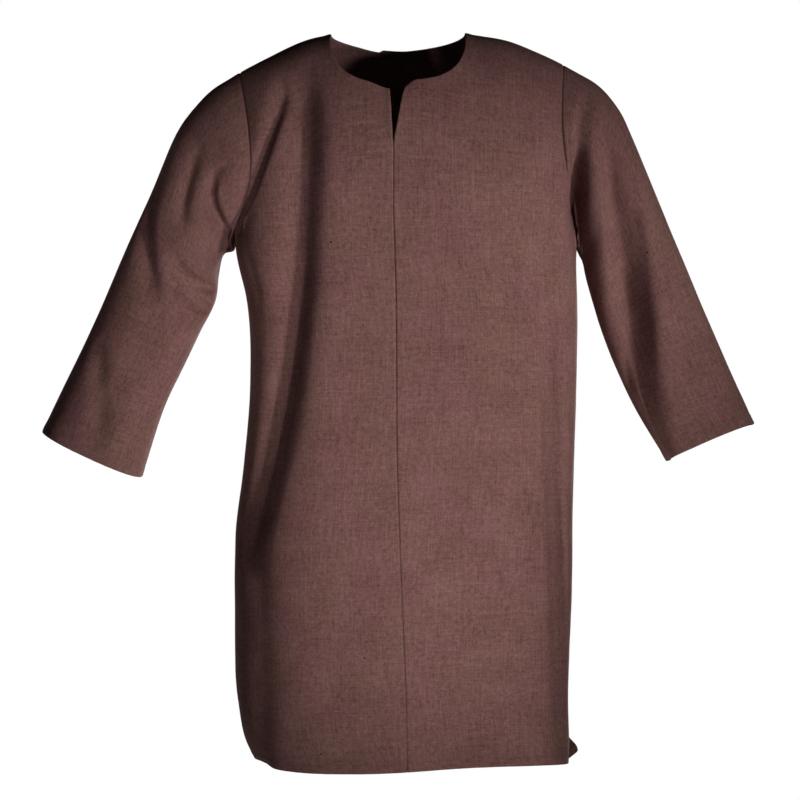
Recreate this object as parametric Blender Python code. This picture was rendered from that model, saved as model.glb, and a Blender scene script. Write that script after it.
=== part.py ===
"""Coarse linen tunic, hollow and filled out as when it is worn.

It is cut as two fronts that meet in a centre seam below a neck slit, one back, two long set-in sleeves and a
narrow facing inside the back of the neck. Metres, +Z up. The front faces -Y and +X is the wearer's left. The
origin lies between the two neck ends of the shoulder seams, where the wearer's shoulders carry the cloth.
"""

import math
from collections import namedtuple

import bpy
import numpy as np
from mathutils import Vector

# Cloth and seams
WALL = 0.002
SEAM_GAP = 0.0003
HEM_Z = -1.003
FACING_DEPTH = 0.016
FACING_EASE = 0.0015  # the facing's free lower edge stands this far off the back

# The body below ROLL_Z is a stack of level sections, and above it the cloth rolls over to the shoulder ridge
ROLL_Z = -0.25
BACK_SQUARENESS = 2.5
ROLL_SQUARENESS = 2.2
RIDGE_LOW_X = -0.243
RIDGE_HIGH_X = 0.250
GIRTH_RADIUS = 0.185  # metres of cloth for each radian around the body

# The squareness of a front's section says how flat it is in the middle and how sharply it turns at the side
Level = namedtuple("Level", "z low_x high_x front_y back_y seam_x right_square left_square")
LEVELS = (
    Level(-1.003, -0.2010, 0.2270, -0.121, 0.118, 0.0080, 2.3, 4.2),
    Level(-0.972, -0.2160, 0.2285, -0.122, 0.119, 0.0072, 2.3, 4.2),
    Level(-0.917, -0.2272, 0.2275, -0.123, 0.119, 0.0055, 2.3, 4.2),
    Level(-0.806, -0.2317, 0.2305, -0.124, 0.118, 0.0010, 2.3, 4.2),
    Level(-0.695, -0.2313, 0.2341, -0.123, 0.116, -0.0035, 2.3, 4.1),
    Level(-0.584, -0.2190, 0.2368, -0.121, 0.112, -0.0070, 2.4, 3.9),
    Level(-0.474, -0.2108, 0.2396, -0.119, 0.110, -0.0078, 2.5, 3.6),
    Level(-0.363, -0.2160, 0.2410, -0.119, 0.112, -0.0085, 2.5, 3.0),
    Level(-0.307, -0.2285, 0.2405, -0.120, 0.114, -0.0100, 2.5, 2.7),
    Level(-0.250, -0.2345, 0.2450, -0.120, 0.115, -0.0118, 2.5, 2.5),
)

# Where the hem hangs higher: at the wearer's left front, and at the right side's corner
HemLift = namedtuple("HemLift", "around lift spread")
HEM_LIFTS = (
    HemLift(35.0, 0.0125, 38.0),
    HemLift(-84.0, 0.0060, 24.0),
)

# The line along the top of both shoulders, and the middle stretch that only the neckline's formula reads
Ridge = namedtuple("Ridge", "x z")
RIDGE = (
    Ridge(-0.245, -0.0600),
    Ridge(-0.231, -0.0520),
    Ridge(-0.187, -0.0290),
    Ridge(-0.129, -0.0030),
    Ridge(-0.098, 0.0040),
    Ridge(0.000, 0.0300),
    Ridge(0.087, 0.0055),
    Ridge(0.152, -0.0070),
    Ridge(0.181, -0.0185),
    Ridge(0.226, -0.0395),
    Ridge(0.252, -0.0545),
)

# What differs between the wearer's right, at -X, and left
Side = namedtuple("Side", "sign neck_x tip_x front_neck_z slit_x underarm_z")
SIDES = {
    "right": Side(-1, -0.098, -0.2244, -0.0750, -0.0168, -0.272),
    "left": Side(1, 0.087, 0.2230, -0.0705, 0.0042, -0.292),
}
BACK_NECK_Z = -0.0094
FRONT_NECK_SQUARENESS = 2.8
BACK_NECK_SQUARENESS = 1.5
SLIT_TIP_Z = -0.155
SLIT_TIP_WIDTH = 0.0012

# How far the armhole seam lies in from the straight line between shoulder tip and underarm
Armhole = namedtuple("Armhole", "drop right_front left_front right_back left_back")
ARMHOLE = (
    Armhole(0.0, 0.0000, 0.0000, 0.0000, 0.0000),
    Armhole(0.2, 0.0110, 0.0080, 0.0060, 0.0050),
    Armhole(0.4, 0.0190, 0.0120, 0.0110, 0.0090),
    Armhole(0.6, 0.0225, 0.0090, 0.0130, 0.0080),
    Armhole(0.8, 0.0150, 0.0040, 0.0090, 0.0045),
    Armhole(1.0, 0.0000, 0.0000, 0.0000, 0.0000),
)

# Sleeve sections from the sleeve head to the cuff: the outer and the inner edge as the front shows them
Section = namedtuple("Section", "outer_x outer_z inner_x inner_z half_depth mid_y")
SLEEVES = {
    "right": (
        Section(-0.2244, -0.0500, -0.2303, -0.2720, 0.050, 0.000),
        Section(-0.2620, -0.0735, -0.2370, -0.2790, 0.058, 0.000),
        Section(-0.2936, -0.1066, -0.2420, -0.2880, 0.062, 0.000),
        Section(-0.3158, -0.1413, -0.2492, -0.3010, 0.063, 0.000),
        Section(-0.3442, -0.2105, -0.2540, -0.3300, 0.061, -0.001),
        Section(-0.3743, -0.2770, -0.2588, -0.3656, 0.058, -0.002),
        Section(-0.4040, -0.3490, -0.2795, -0.4072, 0.055, -0.004),
        Section(-0.4335, -0.4155, -0.3047, -0.4598, 0.053, -0.007),
        Section(-0.4626, -0.4764, -0.3310, -0.5180, 0.051, -0.011),
        Section(-0.4944, -0.5443, -0.3587, -0.6066, 0.050, -0.016),
    ),
    "left": (
        Section(0.2230, -0.0385, 0.2415, -0.2920, 0.050, 0.000),
        Section(0.2690, -0.0655, 0.2465, -0.2990, 0.058, 0.000),
        Section(0.2985, -0.0990, 0.2490, -0.3055, 0.062, 0.000),
        Section(0.3180, -0.1380, 0.2515, -0.3150, 0.063, 0.000),
        Section(0.3460, -0.2064, 0.2552, -0.3345, 0.061, -0.001),
        Section(0.3750, -0.2770, 0.2655, -0.3712, 0.058, -0.002),
        Section(0.4030, -0.3463, 0.2772, -0.4086, 0.055, -0.004),
        Section(0.4300, -0.4100, 0.2960, -0.4570, 0.053, -0.007),
        Section(0.4575, -0.4737, 0.3195, -0.5110, 0.051, -0.011),
        Section(0.4840, -0.5350, 0.3615, -0.5880, 0.049, -0.016),
    ),
}
Keyed = namedtuple("Keyed", ("key",) + Section._fields)  # a section with its number as the key
SLEEVE_SQUARENESS = 2.25
CUFF_DROP = {"right": 0.005, "left": -0.008}  # how much lower the cuff's front hangs than its edges
HEAD_BLEND = 3.0  # sleeve sections over which the armhole's curve fades out

# The largest folds of the body, as troughs; a minus depth is a ridge. x and z are read from the front or back.
# The two widths are those of its sides: low towards lower values of around, and high towards higher ones
BodyFold = namedtuple("BodyFold", "face top_x top_z low_x low_z bow low_width high_width depth")
BODY_FOLDS = (
    BodyFold("front", -0.135, -0.075, -0.140, -0.290, 0.004, 0.020, 0.020, 0.015),
    BodyFold("front", -0.140, -0.290, -0.205, -0.700, 0.013, 0.024, 0.022, 0.017),
    BodyFold("front", -0.103, -0.090, -0.128, -0.600, 0.016, 0.024, 0.030, -0.005),
    BodyFold("front", -0.200, -0.640, -0.190, -1.003, 0.000, 0.030, 0.026, 0.007),
    BodyFold("front", -0.165, -0.080, -0.222, -0.260, 0.004, 0.016, 0.014, 0.008),
    BodyFold("front", 0.194, -0.340, 0.203, -0.620, 0.000, 0.016, 0.018, 0.006),
    BodyFold("front", 0.203, -0.620, 0.210, -0.940, 0.000, 0.014, 0.018, 0.010),
    BodyFold("back", -0.110, -0.100, -0.150, -0.420, -0.010, 0.026, 0.026, 0.010),
    BodyFold("back", 0.120, -0.100, 0.165, -0.400, 0.012, 0.024, 0.024, 0.009),
    BodyFold("back", -0.060, -0.420, -0.095, -1.003, 0.008, 0.032, 0.026, 0.012),
    BodyFold("back", 0.080, -0.480, 0.110, -1.003, -0.010, 0.026, 0.032, 0.013),
    BodyFold("back", 0.010, -0.560, 0.005, -1.003, 0.006, 0.028, 0.028, -0.006),
)
FOLD_FADE = 0.05  # length over which a fold runs out at each end
CALM_BELOW_RIDGE = 0.08  # the folds rise from nothing over this height below the ridge
AROUND_STEP = 0.5  # how far apart the points are that a surface normal is worked out from
HEIGHT_STEP = 0.01

# Sleeve folds: run is 0 at the armhole and 1 at the cuff, turn is 0 at the outer edge, 90 in front and 270 behind
SleeveFold = namedtuple("SleeveFold", "side top_run top_turn low_run low_turn width depth")
SLEEVE_FOLDS = (
    SleeveFold("left", 0.16, 60, 1.00, 138, 0.016, 0.008),
    SleeveFold("left", 0.30, 48, 1.00, 95, 0.020, -0.004),
    SleeveFold("left", 0.24, 300, 0.95, 255, 0.018, 0.008),
    SleeveFold("right", 0.18, 55, 0.62, 78, 0.016, 0.007),
    SleeveFold("right", 0.50, 120, 1.00, 84, 0.018, 0.007),
    SleeveFold("right", 0.26, 290, 0.96, 262, 0.018, 0.008),
)
SLEEVE_RADIUS = 0.06  # metres of cloth for each radian around a sleeve
SLEEVE_FOLD_FADE = 0.15  # share of a sleeve fold's run over which it starts and ends

# Where a back hem corner flicks out beside the wearer's left seam
FLICK_AROUND = 97.0
FLICK_OUT = 0.017
FLICK_UP = 0.012
FLICK_SPREAD = 0.020
FLICK_HEIGHT = 0.045

# Grid of each piece: columns from the centre to the side, rows from hem to underarm, neckline and shoulder
NECK_STEPS = 4
SHOULDER_STEPS = 8
SKIRT_STEPS = 20
CHEST_STEPS = 8
YOKE_STEPS = 4
SLEEVE_STEPS = 14
NECK_CORNER = 0.5  # share of the neckline's sweep where its bottom turns into its side
CURVE_SAMPLES = 120

CLOTH_COLOUR = (0.165, 0.085, 0.075)
FACING_COLOUR = (0.150, 0.078, 0.070)


def remove_everything():
    for obj in list(bpy.data.objects):
        bpy.data.objects.remove(obj, do_unlink=True)


def read_table(rows, key, column, at):
    """Value of one column where the key column is at, on a smooth curve through the rows."""
    keys = np.array([getattr(row, key) for row in rows])
    values = np.array([getattr(row, column) for row in rows])
    slopes = np.gradient(values, keys)
    at = min(max(at, keys[0]), keys[-1])
    i = min(int(np.searchsorted(keys, at, side="right")) - 1, len(keys) - 2)
    step = keys[i + 1] - keys[i]
    f = (at - keys[i]) / step
    start = values[i] * (1 + 2 * f) * (1 - f) ** 2 + step * slopes[i] * f * (1 - f) ** 2
    end = values[i + 1] * f * f * (3 - 2 * f) - step * slopes[i + 1] * f * f * (1 - f)
    return float(start + end)


def superellipse(angle, squareness):
    """Sine-like and cosine-like coordinates of a unit superellipse at a polar angle in degrees."""
    s = math.sin(math.radians(angle))
    c = math.cos(math.radians(angle))
    reach = (abs(s) ** squareness + abs(c) ** squareness) ** (-1 / squareness)
    return s * reach, c * reach


def partner(value, squareness):
    """The other coordinate of a unit superellipse."""
    return max(0.0, 1 - min(1.0, abs(value)) ** squareness) ** (1 / squareness)


def mix(a, b, f):
    return a + (b - a) * f


def ramp(f):
    f = min(1.0, max(0.0, f))
    return f * f * (3 - 2 * f)


def hem_z(around):
    z = HEM_Z
    for row in HEM_LIFTS:
        apart = ((around - row.around + 180) % 360 - 180) / row.spread
        z += row.lift * math.exp(-apart * apart)
    return z


def ridge_z(x):
    return read_table(RIDGE, "x", "z", x)


def body_edges(z, rise):
    """The body section's lowest and highest x at a height, or at a share of the shoulder roll's rise."""
    low = read_table(LEVELS, "z", "low_x", z)
    high = read_table(LEVELS, "z", "high_x", z)
    return mix(low, RIDGE_LOW_X, rise), mix(high, RIDGE_HIGH_X, rise)


def body_squareness(across, face, z):
    if face == "back":
        return BACK_SQUARENESS
    return read_table(LEVELS, "z", "left_square" if across > 0 else "right_square", z)


def body_plain(around, height):
    """Point of the body without folds. around is 0 in front, 90 at the wearer's left side and 180 behind.
    height is 0 at the hem, 1 where the shoulder roll starts and 2 on the ridge."""
    z = mix(hem_z(around), ROLL_Z, min(height, 1.0))
    face = "front" if math.cos(math.radians(around)) > 0 else "back"
    across, forward = superellipse(around, body_squareness(math.sin(math.radians(around)), face, z))
    rise, reach = superellipse(90 * max(0.0, height - 1), ROLL_SQUARENESS)
    low, high = body_edges(z, rise)
    x = (low + high) / 2 + (high - low) / 2 * across
    depth = read_table(LEVELS, "z", "front_y" if forward > 0 else "back_y", z)
    y = depth * abs(forward) * reach
    if height > 1:
        z = mix(ROLL_Z, ridge_z(x), rise)
    return Vector((x, y, z))


def body_place(face, x, z, sign=1):
    """(around, height) of the body's point that the front or back view shows at x, z. At the back, around runs to
    180 on the wearer's left with a sign of 1, and to -180 on the right with a sign of -1."""
    rise = max(0.0, (z - ROLL_Z) / (ridge_z(x) - ROLL_Z))
    rise = min(rise, 1.0)
    height = 1 + math.degrees(math.atan2(rise, partner(rise, ROLL_SQUARENESS))) / 90
    if z <= ROLL_Z:
        height = (z - HEM_Z) / (ROLL_Z - HEM_Z)
    low, high = body_edges(min(z, ROLL_Z), rise)
    across = (x - (low + high) / 2) / ((high - low) / 2)
    squareness = body_squareness(across, face, min(z, ROLL_Z))
    around = math.degrees(math.atan2(across, partner(across, squareness)))
    if face == "back":
        around = 180 * sign - around
    return around, height


def fold_depth(around, z):
    """How far the cloth lies inside its plain form because of the folds."""
    total = 0.0
    for fold in BODY_FOLDS:
        f = (fold.top_z - z) / (fold.top_z - fold.low_z)
        fade = FOLD_FADE / (fold.top_z - fold.low_z)
        strength = ramp((f + fade) / (2 * fade))
        if fold.low_z > HEM_Z:
            strength *= ramp((1 + fade - f) / (2 * fade))
        if strength == 0:
            continue
        f = min(1.0, max(0.0, f))
        x = mix(fold.top_x, fold.low_x, f) + 4 * fold.bow * f * (1 - f)
        centre, _ = body_place(fold.face, x, z)
        apart = (around - centre + 180) % 360 - 180
        width = fold.low_width if apart < 0 else fold.high_width
        apart = math.radians(apart) * GIRTH_RADIUS / width
        total += fold.depth * strength * math.exp(-apart * apart)
    return total


def flick(around, z):
    """Share, 0 to 1, of the hem corner's flick at a place."""
    apart = math.radians(around - FLICK_AROUND) * GIRTH_RADIUS / FLICK_SPREAD
    return math.exp(-apart * apart) * ramp(1 - (z - HEM_Z) / FLICK_HEIGHT)


def body_point(place):
    """Point of the folded body at (around, height)."""
    around, height = place
    point = body_plain(around, height)
    side = body_plain(around + AROUND_STEP, height) - body_plain(around - AROUND_STEP, height)
    up = body_plain(around, min(height + HEIGHT_STEP, 2)) - body_plain(around, max(height - HEIGHT_STEP, 0))
    normal = side.cross(up).normalized()
    calm = ramp((ridge_z(point.x) - point.z) / CALM_BELOW_RIDGE)
    flicked = flick(around, point.z)
    point -= normal * (fold_depth(around, point.z) * calm - FLICK_OUT * flicked)
    return point + Vector((0, 0, FLICK_UP * flicked))


def evenly(curve, count):
    """Values of a curve's parameter, 0 to 1, at count equal lengths along it."""
    samples = [i / CURVE_SAMPLES for i in range(CURVE_SAMPLES + 1)]
    points = [curve(f) for f in samples]
    lengths = [0.0]
    for a, b in zip(points, points[1:]):
        lengths.append(lengths[-1] + (b - a).length)
    return [float(np.interp(lengths[-1] * i / count, lengths, samples)) for i in range(count + 1)]


def slit_half(side, z):
    """How far a front's edge lies from the centre line: half the seam's gap, or half the slit's width above it."""
    top = abs(side.slit_x - read_table(LEVELS, "z", "seam_x", ROLL_Z))
    f = (z - SLIT_TIP_Z) / (side.front_neck_z - SLIT_TIP_Z)
    return mix(SLIT_TIP_WIDTH / 2, top, min(f, 1.0)) if f > 0 else SEAM_GAP / 2


def front_edge(side, z):
    """Place of the front's centre edge at a height: the seam, or the slit above its tip."""
    x = read_table(LEVELS, "z", "seam_x", z) + side.sign * slit_half(side, z)
    return body_place("front", x, z)


def back_edge(side, z):
    return body_place("back", 0.0, z, side.sign)


def neck_curve(name, face):
    """The neckline's half, from the centre to the shoulder's neck end, as a function of 0 to 1."""
    side = SIDES[name]
    front = face == "front"
    squareness = FRONT_NECK_SQUARENESS if front else BACK_NECK_SQUARENESS
    low_z = side.front_neck_z if front else BACK_NECK_Z
    top_z = ridge_z(side.neck_x)
    centre = abs(side.slit_x / side.neck_x) if front else 0.0
    if front and side.slit_x * side.neck_x < 0:
        centre = 0.0
    first = math.degrees(math.atan2(centre, partner(centre, squareness)))

    def place(f):
        across, down = superellipse(mix(first, 90, f), squareness)
        return body_place(face, side.neck_x * across, mix(top_z, low_z, down), side.sign)

    return place


def armhole_curve(name, face):
    """The armhole's half, from the underarm to the shoulder tip, as a function of 0 to 1."""
    side = SIDES[name]
    low, high = body_edges(side.underarm_z, 0)
    under_x = low if side.sign < 0 else high

    def place(f):
        drop = 1 - f
        inset = read_table(ARMHOLE, "drop", name + "_" + face, drop)
        x = mix(side.tip_x, under_x, drop) - side.sign * inset
        z = mix(ridge_z(side.tip_x), side.underarm_z, drop)
        if drop == 1:
            return side.sign * 90, body_place(face, 0, z)[1]
        around, height = body_place(face, x, z, side.sign)
        return (around, 2.0) if drop == 0 else (around, height)

    return place


def shoulder_curve(name, face):
    side = SIDES[name]

    def place(f):
        x = mix(side.neck_x, side.tip_x, f)
        return body_place(face, x, ridge_z(x), side.sign)[0], 2.0

    return place


def spaced(curve, count):
    """The places of a curve at equal lengths along the cloth."""
    return [curve(f) for f in evenly(lambda g: body_point(curve(g)), count)]


def stretch(curve, first, last):
    """The part of a curve between two values of its parameter."""
    return lambda f: curve(mix(first, last, f))


def straight(a, b, count):
    return [tuple(mix(a[k], b[k], i / count) for k in range(2)) for i in range(count + 1)]


def patch(bottom, top, left, right):
    """Grid of places between four borders that meet at their corners, without its bottom row."""
    rows = []
    for j in range(1, len(left)):
        w = j / (len(left) - 1)
        row = []
        for i in range(len(bottom)):
            u = i / (len(bottom) - 1)
            row.append(
                tuple(
                    mix(bottom[i][k], top[i][k], w)
                    + mix(left[j][k], right[j][k], u)
                    - mix(mix(bottom[0][k], bottom[-1][k], u), mix(top[0][k], top[-1][k], u), w)
                    for k in range(2)
                )
            )
        rows.append(row)
    return rows


def panel_places(name, face):
    """Grid of places of one half of a front or back: rows go up from the hem, columns out from the centre. The
    rows beside the neck have no points where the neck is open."""
    side = SIDES[name]
    centre = front_edge if face == "front" else back_edge
    neck_z = side.front_neck_z if face == "front" else BACK_NECK_Z
    columns = NECK_STEPS + SHOULDER_STEPS
    armhole = spaced(armhole_curve(name, face), CHEST_STEPS + YOKE_STEPS)
    neck = neck_curve(name, face)
    neck_bottom = spaced(stretch(neck, 0, NECK_CORNER), NECK_STEPS)
    neck_side = spaced(stretch(neck, NECK_CORNER, 1), YOKE_STEPS)
    shoulder = spaced(shoulder_curve(name, face), SHOULDER_STEPS)

    def level(z):
        last = math.copysign(90, side.sign), body_place(face, 0, z)[1]
        return straight(centre(side, z), last, columns)

    skirt = [level(mix(HEM_Z, side.underarm_z, i / SKIRT_STEPS)) for i in range(SKIRT_STEPS + 1)]
    middle = [centre(side, mix(side.underarm_z, neck_z, j / CHEST_STEPS)) for j in range(CHEST_STEPS + 1)]
    across = straight(neck_bottom[-1], armhole[CHEST_STEPS], SHOULDER_STEPS)
    chest = patch(skirt[-1], neck_bottom + across[1:], middle, armhole[: CHEST_STEPS + 1])
    yoke = patch(across, shoulder, neck_side, armhole[CHEST_STEPS:])
    return skirt + chest + [[None] * NECK_STEPS + row for row in yoke]


def body_grid(name, face):
    return [[place and body_point(place) for place in row] for row in panel_places(name, face)]


def sleeve_fold_depth(name, run, turn):
    total = 0.0
    for fold in SLEEVE_FOLDS:
        if fold.side != name:
            continue
        f = (run - fold.top_run) / (fold.low_run - fold.top_run)
        strength = ramp((f + SLEEVE_FOLD_FADE) / (2 * SLEEVE_FOLD_FADE))
        if fold.low_run < 1:
            strength *= ramp((1 + SLEEVE_FOLD_FADE - f) / (2 * SLEEVE_FOLD_FADE))
        centre = mix(fold.top_turn, fold.low_turn, min(1.0, max(0.0, f)))
        apart = math.radians((turn - centre + 180) % 360 - 180) * SLEEVE_RADIUS / fold.width
        total += fold.depth * strength * math.exp(-apart * apart)
    return total


def sleeve_section(name, along, turn):
    """Point of a sleeve's section, along counted in sections from the sleeve head."""
    rows = SLEEVES[name]
    keyed = [Keyed(i, *row) for i, row in enumerate(rows)]
    outer = Vector((read_table(keyed, "key", "outer_x", along), 0, read_table(keyed, "key", "outer_z", along)))
    inner = Vector((read_table(keyed, "key", "inner_x", along), 0, read_table(keyed, "key", "inner_z", along)))
    across, forward = superellipse(90 - turn, SLEEVE_SQUARENESS)
    centre = (outer + inner) / 2
    out = (outer - inner) / 2
    depth = read_table(keyed, "key", "half_depth", along)
    fold = sleeve_fold_depth(name, along / (len(rows) - 1), turn)
    shrink = 1 - fold / depth
    centre.y = read_table(keyed, "key", "mid_y", along)
    drop = CUFF_DROP[name] * max(0.0, forward) * ramp(along - len(rows) + 2)
    return centre + out * across * (1 - fold / out.length) + Vector((0, -depth * forward * shrink, -drop))


def sleeve_grid(name, loop):
    """Rings of a sleeve from its armhole to its cuff. loop is the armhole's own points, from the shoulder tip round
    by the front to the underarm and back behind."""
    last = len(SLEEVES[name]) - 1
    count = len(loop)
    head = [sleeve_section(name, 0, turn) for turn in even_turns(name, 0, count)]
    rings = [loop]
    for i in range(1, SLEEVE_STEPS + 1):
        along = last * i / SLEEVE_STEPS
        carry = 1 - ramp(along / HEAD_BLEND)
        ring = [sleeve_section(name, along, turn) for turn in even_turns(name, along, count)]
        rings.append([point + (loop[k] - head[k]) * carry for k, point in enumerate(ring)])
    return rings


def even_turns(name, along, count):
    """Turns, in degrees, of points at equal lengths around the front half of a section and then its back half."""
    front = evenly(lambda f: sleeve_section(name, along, 180 * f), count // 2)
    back = evenly(lambda f: sleeve_section(name, along, 180 * (1 + f)), count // 2)
    return [180 * f for f in front] + [180 + 180 * f for f in back[1:-1]]


def vertex_key(point):
    return tuple(round(value * 1e6) for value in point)


def cells(grid):
    """Corner indices, row and column, of each cell whose four points exist, anticlockwise seen from outside."""
    for j in range(len(grid) - 1):
        for i in range(len(grid[0]) - 1):
            corners = ((j, i), (j, i + 1), (j + 1, i + 1), (j + 1, i))
            if all(grid[a][b] for a, b in corners):
                yield corners


def shared_normals(groups):
    """Outward normals of all the cloth's points. Each group of grids counts alike where it shares a seam."""
    total = {}
    for grids in groups:
        own = {}
        for grid in grids:
            for corners in cells(grid):
                points = [grid[j][i] for j, i in corners]
                normal = (points[2] - points[0]).cross(points[3] - points[1])
                for point in points:
                    key = vertex_key(point)
                    own[key] = own.get(key, Vector((0, 0, 0))) + normal
        for key, normal in own.items():
            total[key] = total.get(key, Vector((0, 0, 0))) + normal.normalized()
    return {key: normal.normalized() for key, normal in total.items()}


def outline(grid):
    """The grid's border edges by their ends' keys. Seen from outside, the cloth lies to the left of each."""
    edges = {}
    for corners in cells(grid):
        points = [grid[j][i] for j, i in corners]
        for a, b in zip(points, points[1:] + points[:1]):
            edges[vertex_key(a), vertex_key(b)] = b - a
    return {ends: edge for ends, edge in edges.items() if ends[::-1] not in edges}


def seam_shifts(grids, normals):
    """How each grid's points move where it shares an edge with another, so that a seam gap opens between them."""
    outlines = {name: outline(grid) for name, grid in grids.items()}
    shifts = {}
    for name, edges in outlines.items():
        inward = {}
        for ends, edge in edges.items():
            if any(ends[::-1] in others for others in outlines.values()):
                for key in ends:
                    inward.setdefault(key, []).append(normals[key].cross(edge).normalized())
        shifts[name] = {}
        for key, sides in inward.items():
            a, b = sides[0], sides[-1]
            shifts[name][key] = (a + b) / max(0.5, 1 + a.dot(b)) * SEAM_GAP / 2
    return shifts


def wall_object(name, grid, normals, shifts, material, collection):
    """A cloth wall: the grid's points outside, the same points moved in by the wall, and rims around its border."""
    index = {}
    outer = []
    inner = []
    for point in (point for row in grid for point in row if point):
        key = vertex_key(point)
        if key not in index:
            index[key] = len(outer)
            outer.append(point + shifts.get(key, Vector((0, 0, 0))))
            inner.append(outer[-1] - normals[key] * WALL)
    count = len(outer)
    faces = []
    for corners in cells(grid):
        quad = [index[vertex_key(grid[j][i])] for j, i in corners]
        faces.append(quad)
        faces.append([count + corner for corner in reversed(quad)])
    for ends in outline(grid):
        a, b = [index[key] for key in ends]
        # Both sides of a seam split their rims from the higher point, so that the gap stays open
        if outer[a].z > outer[b].z:
            faces += [[b, a, count + b], [a, count + a, count + b]]
        else:
            faces += [[b, a, count + a], [b, count + a, count + b]]
    mesh = bpy.data.meshes.new(name)
    mesh.from_pydata(outer + inner, [], faces)
    mesh.shade_smooth()
    mesh.materials.append(material)
    obj = bpy.data.objects.new(name, mesh)
    collection.objects.link(obj)


def cloth_material(name, colour):
    material = bpy.data.materials.new(name)
    material.use_nodes = True
    shader = material.node_tree.nodes["Principled BSDF"]
    shader.inputs["Base Color"].default_value = (*colour, 1)
    shader.inputs["Roughness"].default_value = 0.92
    shader.inputs["Metallic"].default_value = 0.0
    return material


def neck_border(back):
    """Back neckline's points with the point below each along the cloth, from the viewer's left to right."""
    top = SKIRT_STEPS + CHEST_STEPS
    last = len(back[0]) - 1
    near = SHOULDER_STEPS
    far = last - SHOULDER_STEPS
    pairs = [((j, near), (j, near - 1)) for j in range(len(back) - 1, top, -1)]
    pairs += [((top, i), (top - 1, i)) for i in range(near, far + 1)]
    pairs += [((j, far), (j, far + 1)) for j in range(top + 1, len(back))]
    return pairs


def facing_grid(back, normals):
    """The facing's grid and its normals, taken from the back's own points and moved inside its wall."""
    grid = ([], [])
    own_normals = {}
    for (j, i), (low_j, low_i) in neck_border(back):
        high, low = back[j][i], back[low_j][low_i]
        share = min(1.0, FACING_DEPTH / (low - high).length)
        for row, f, gap in ((grid[1], 0.0, SEAM_GAP), (grid[0], share, FACING_EASE)):
            normal = normals[vertex_key(high)].lerp(normals[vertex_key(low)], f).normalized()
            row.append(high.lerp(low, f) - normal * (WALL + gap))
            own_normals[vertex_key(row[-1])] = normal
    return grid, own_normals


def build():
    remove_everything()
    collection = bpy.data.collections.new("tunic")
    bpy.context.scene.collection.children.link(collection)
    linen = cloth_material("linen", CLOTH_COLOUR)
    facing_cloth = cloth_material("facing_linen", FACING_COLOUR)

    # Seen from outside, every grid's columns run to the right and its rows go up
    front = {name: body_grid(name, "front") for name in SIDES}
    front["right"] = [row[::-1] for row in front["right"]]
    halves = {name: body_grid(name, "back") for name in SIDES}
    back = [a[:0:-1] + b for a, b in zip(halves["left"], halves["right"])]

    # A sleeve starts on the armhole's own points, from the shoulder tip round by the front
    sleeves = {}
    for name, front_column, back_column in (("left", -1, 0), ("right", 0, -1)):
        front_seam = [row[front_column] for row in front[name][SKIRT_STEPS:]]
        back_seam = [row[back_column] for row in back[SKIRT_STEPS:]]
        rings = sleeve_grid(name, front_seam[::-1] + back_seam[1:-1])
        rings = [ring + ring[:1] for ring in reversed(rings)]
        sleeves[name] = [ring[::-1] for ring in rings] if name == "left" else rings

    body = {"front_right": front["right"], "front_left": front["left"], "back": back}
    arms = {"sleeve_" + name: grid for name, grid in sleeves.items()}
    normals = shared_normals([body.values(), arms.values()])
    shifts = seam_shifts({**body, **arms}, normals)
    for name, grid in {**body, **arms}.items():
        wall_object(name, grid, normals, shifts[name], linen, collection)
    facing, facing_normals = facing_grid(back, normals)
    wall_object("neck_facing", facing, facing_normals, {}, facing_cloth, collection)


build()
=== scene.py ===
import math

import bpy
import numpy as np
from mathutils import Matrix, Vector
from mathutils.kdtree import KDTree


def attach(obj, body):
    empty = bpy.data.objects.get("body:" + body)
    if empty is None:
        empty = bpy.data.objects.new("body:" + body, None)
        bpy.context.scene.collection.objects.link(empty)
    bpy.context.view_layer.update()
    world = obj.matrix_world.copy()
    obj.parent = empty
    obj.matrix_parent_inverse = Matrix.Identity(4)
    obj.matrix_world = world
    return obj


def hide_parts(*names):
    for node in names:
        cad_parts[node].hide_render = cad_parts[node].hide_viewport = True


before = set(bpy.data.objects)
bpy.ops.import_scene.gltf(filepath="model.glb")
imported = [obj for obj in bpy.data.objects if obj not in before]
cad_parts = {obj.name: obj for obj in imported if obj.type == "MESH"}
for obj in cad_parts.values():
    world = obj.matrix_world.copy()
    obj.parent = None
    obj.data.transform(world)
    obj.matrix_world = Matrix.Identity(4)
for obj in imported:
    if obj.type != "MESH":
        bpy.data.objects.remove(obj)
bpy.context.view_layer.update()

# Metres throughout, +Z up, the front faces -Y and +X is the wearer's left


def readTable(table, key, column, at):
    # one column of a table where the key column is at, on a smooth curve through the rows
    keys = np.array(table[key], float)
    values = np.array(table[column], float)
    slopes = np.gradient(values, keys)
    at = np.clip(at, keys[0], keys[-1])
    i = np.clip(np.searchsorted(keys, at, side="right") - 1, 0, len(keys) - 2)
    step = keys[i + 1] - keys[i]
    f = (at - keys[i]) / step
    start = values[i] * (1 + 2 * f) * (1 - f) ** 2 + step * slopes[i] * f * (1 - f) ** 2
    end = values[i + 1] * f * f * (3 - 2 * f) - step * slopes[i + 1] * f * f * (1 - f)
    return start + end


def superellipse(angle, squareness):
    # a point on a rounded square of reach 1, with its angle from the top of the curve
    s = np.sin(np.radians(angle))
    c = np.cos(np.radians(angle))
    reach = (np.abs(s) ** squareness + np.abs(c) ** squareness) ** (-1 / squareness)
    return s * reach, c * reach


def partner(value, squareness):
    # the other coordinate of the point on that curve
    return np.maximum(0, 1 - np.minimum(1, np.abs(value)) ** squareness) ** (1 / squareness)


def mix(a, b, f):
    return a + (b - a) * f


def ramp(f):
    f = np.clip(f, 0, 1)
    return f * f * (3 - 2 * f)


def bell(apart, width):
    return np.exp(-(apart / width) ** 2)


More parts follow.
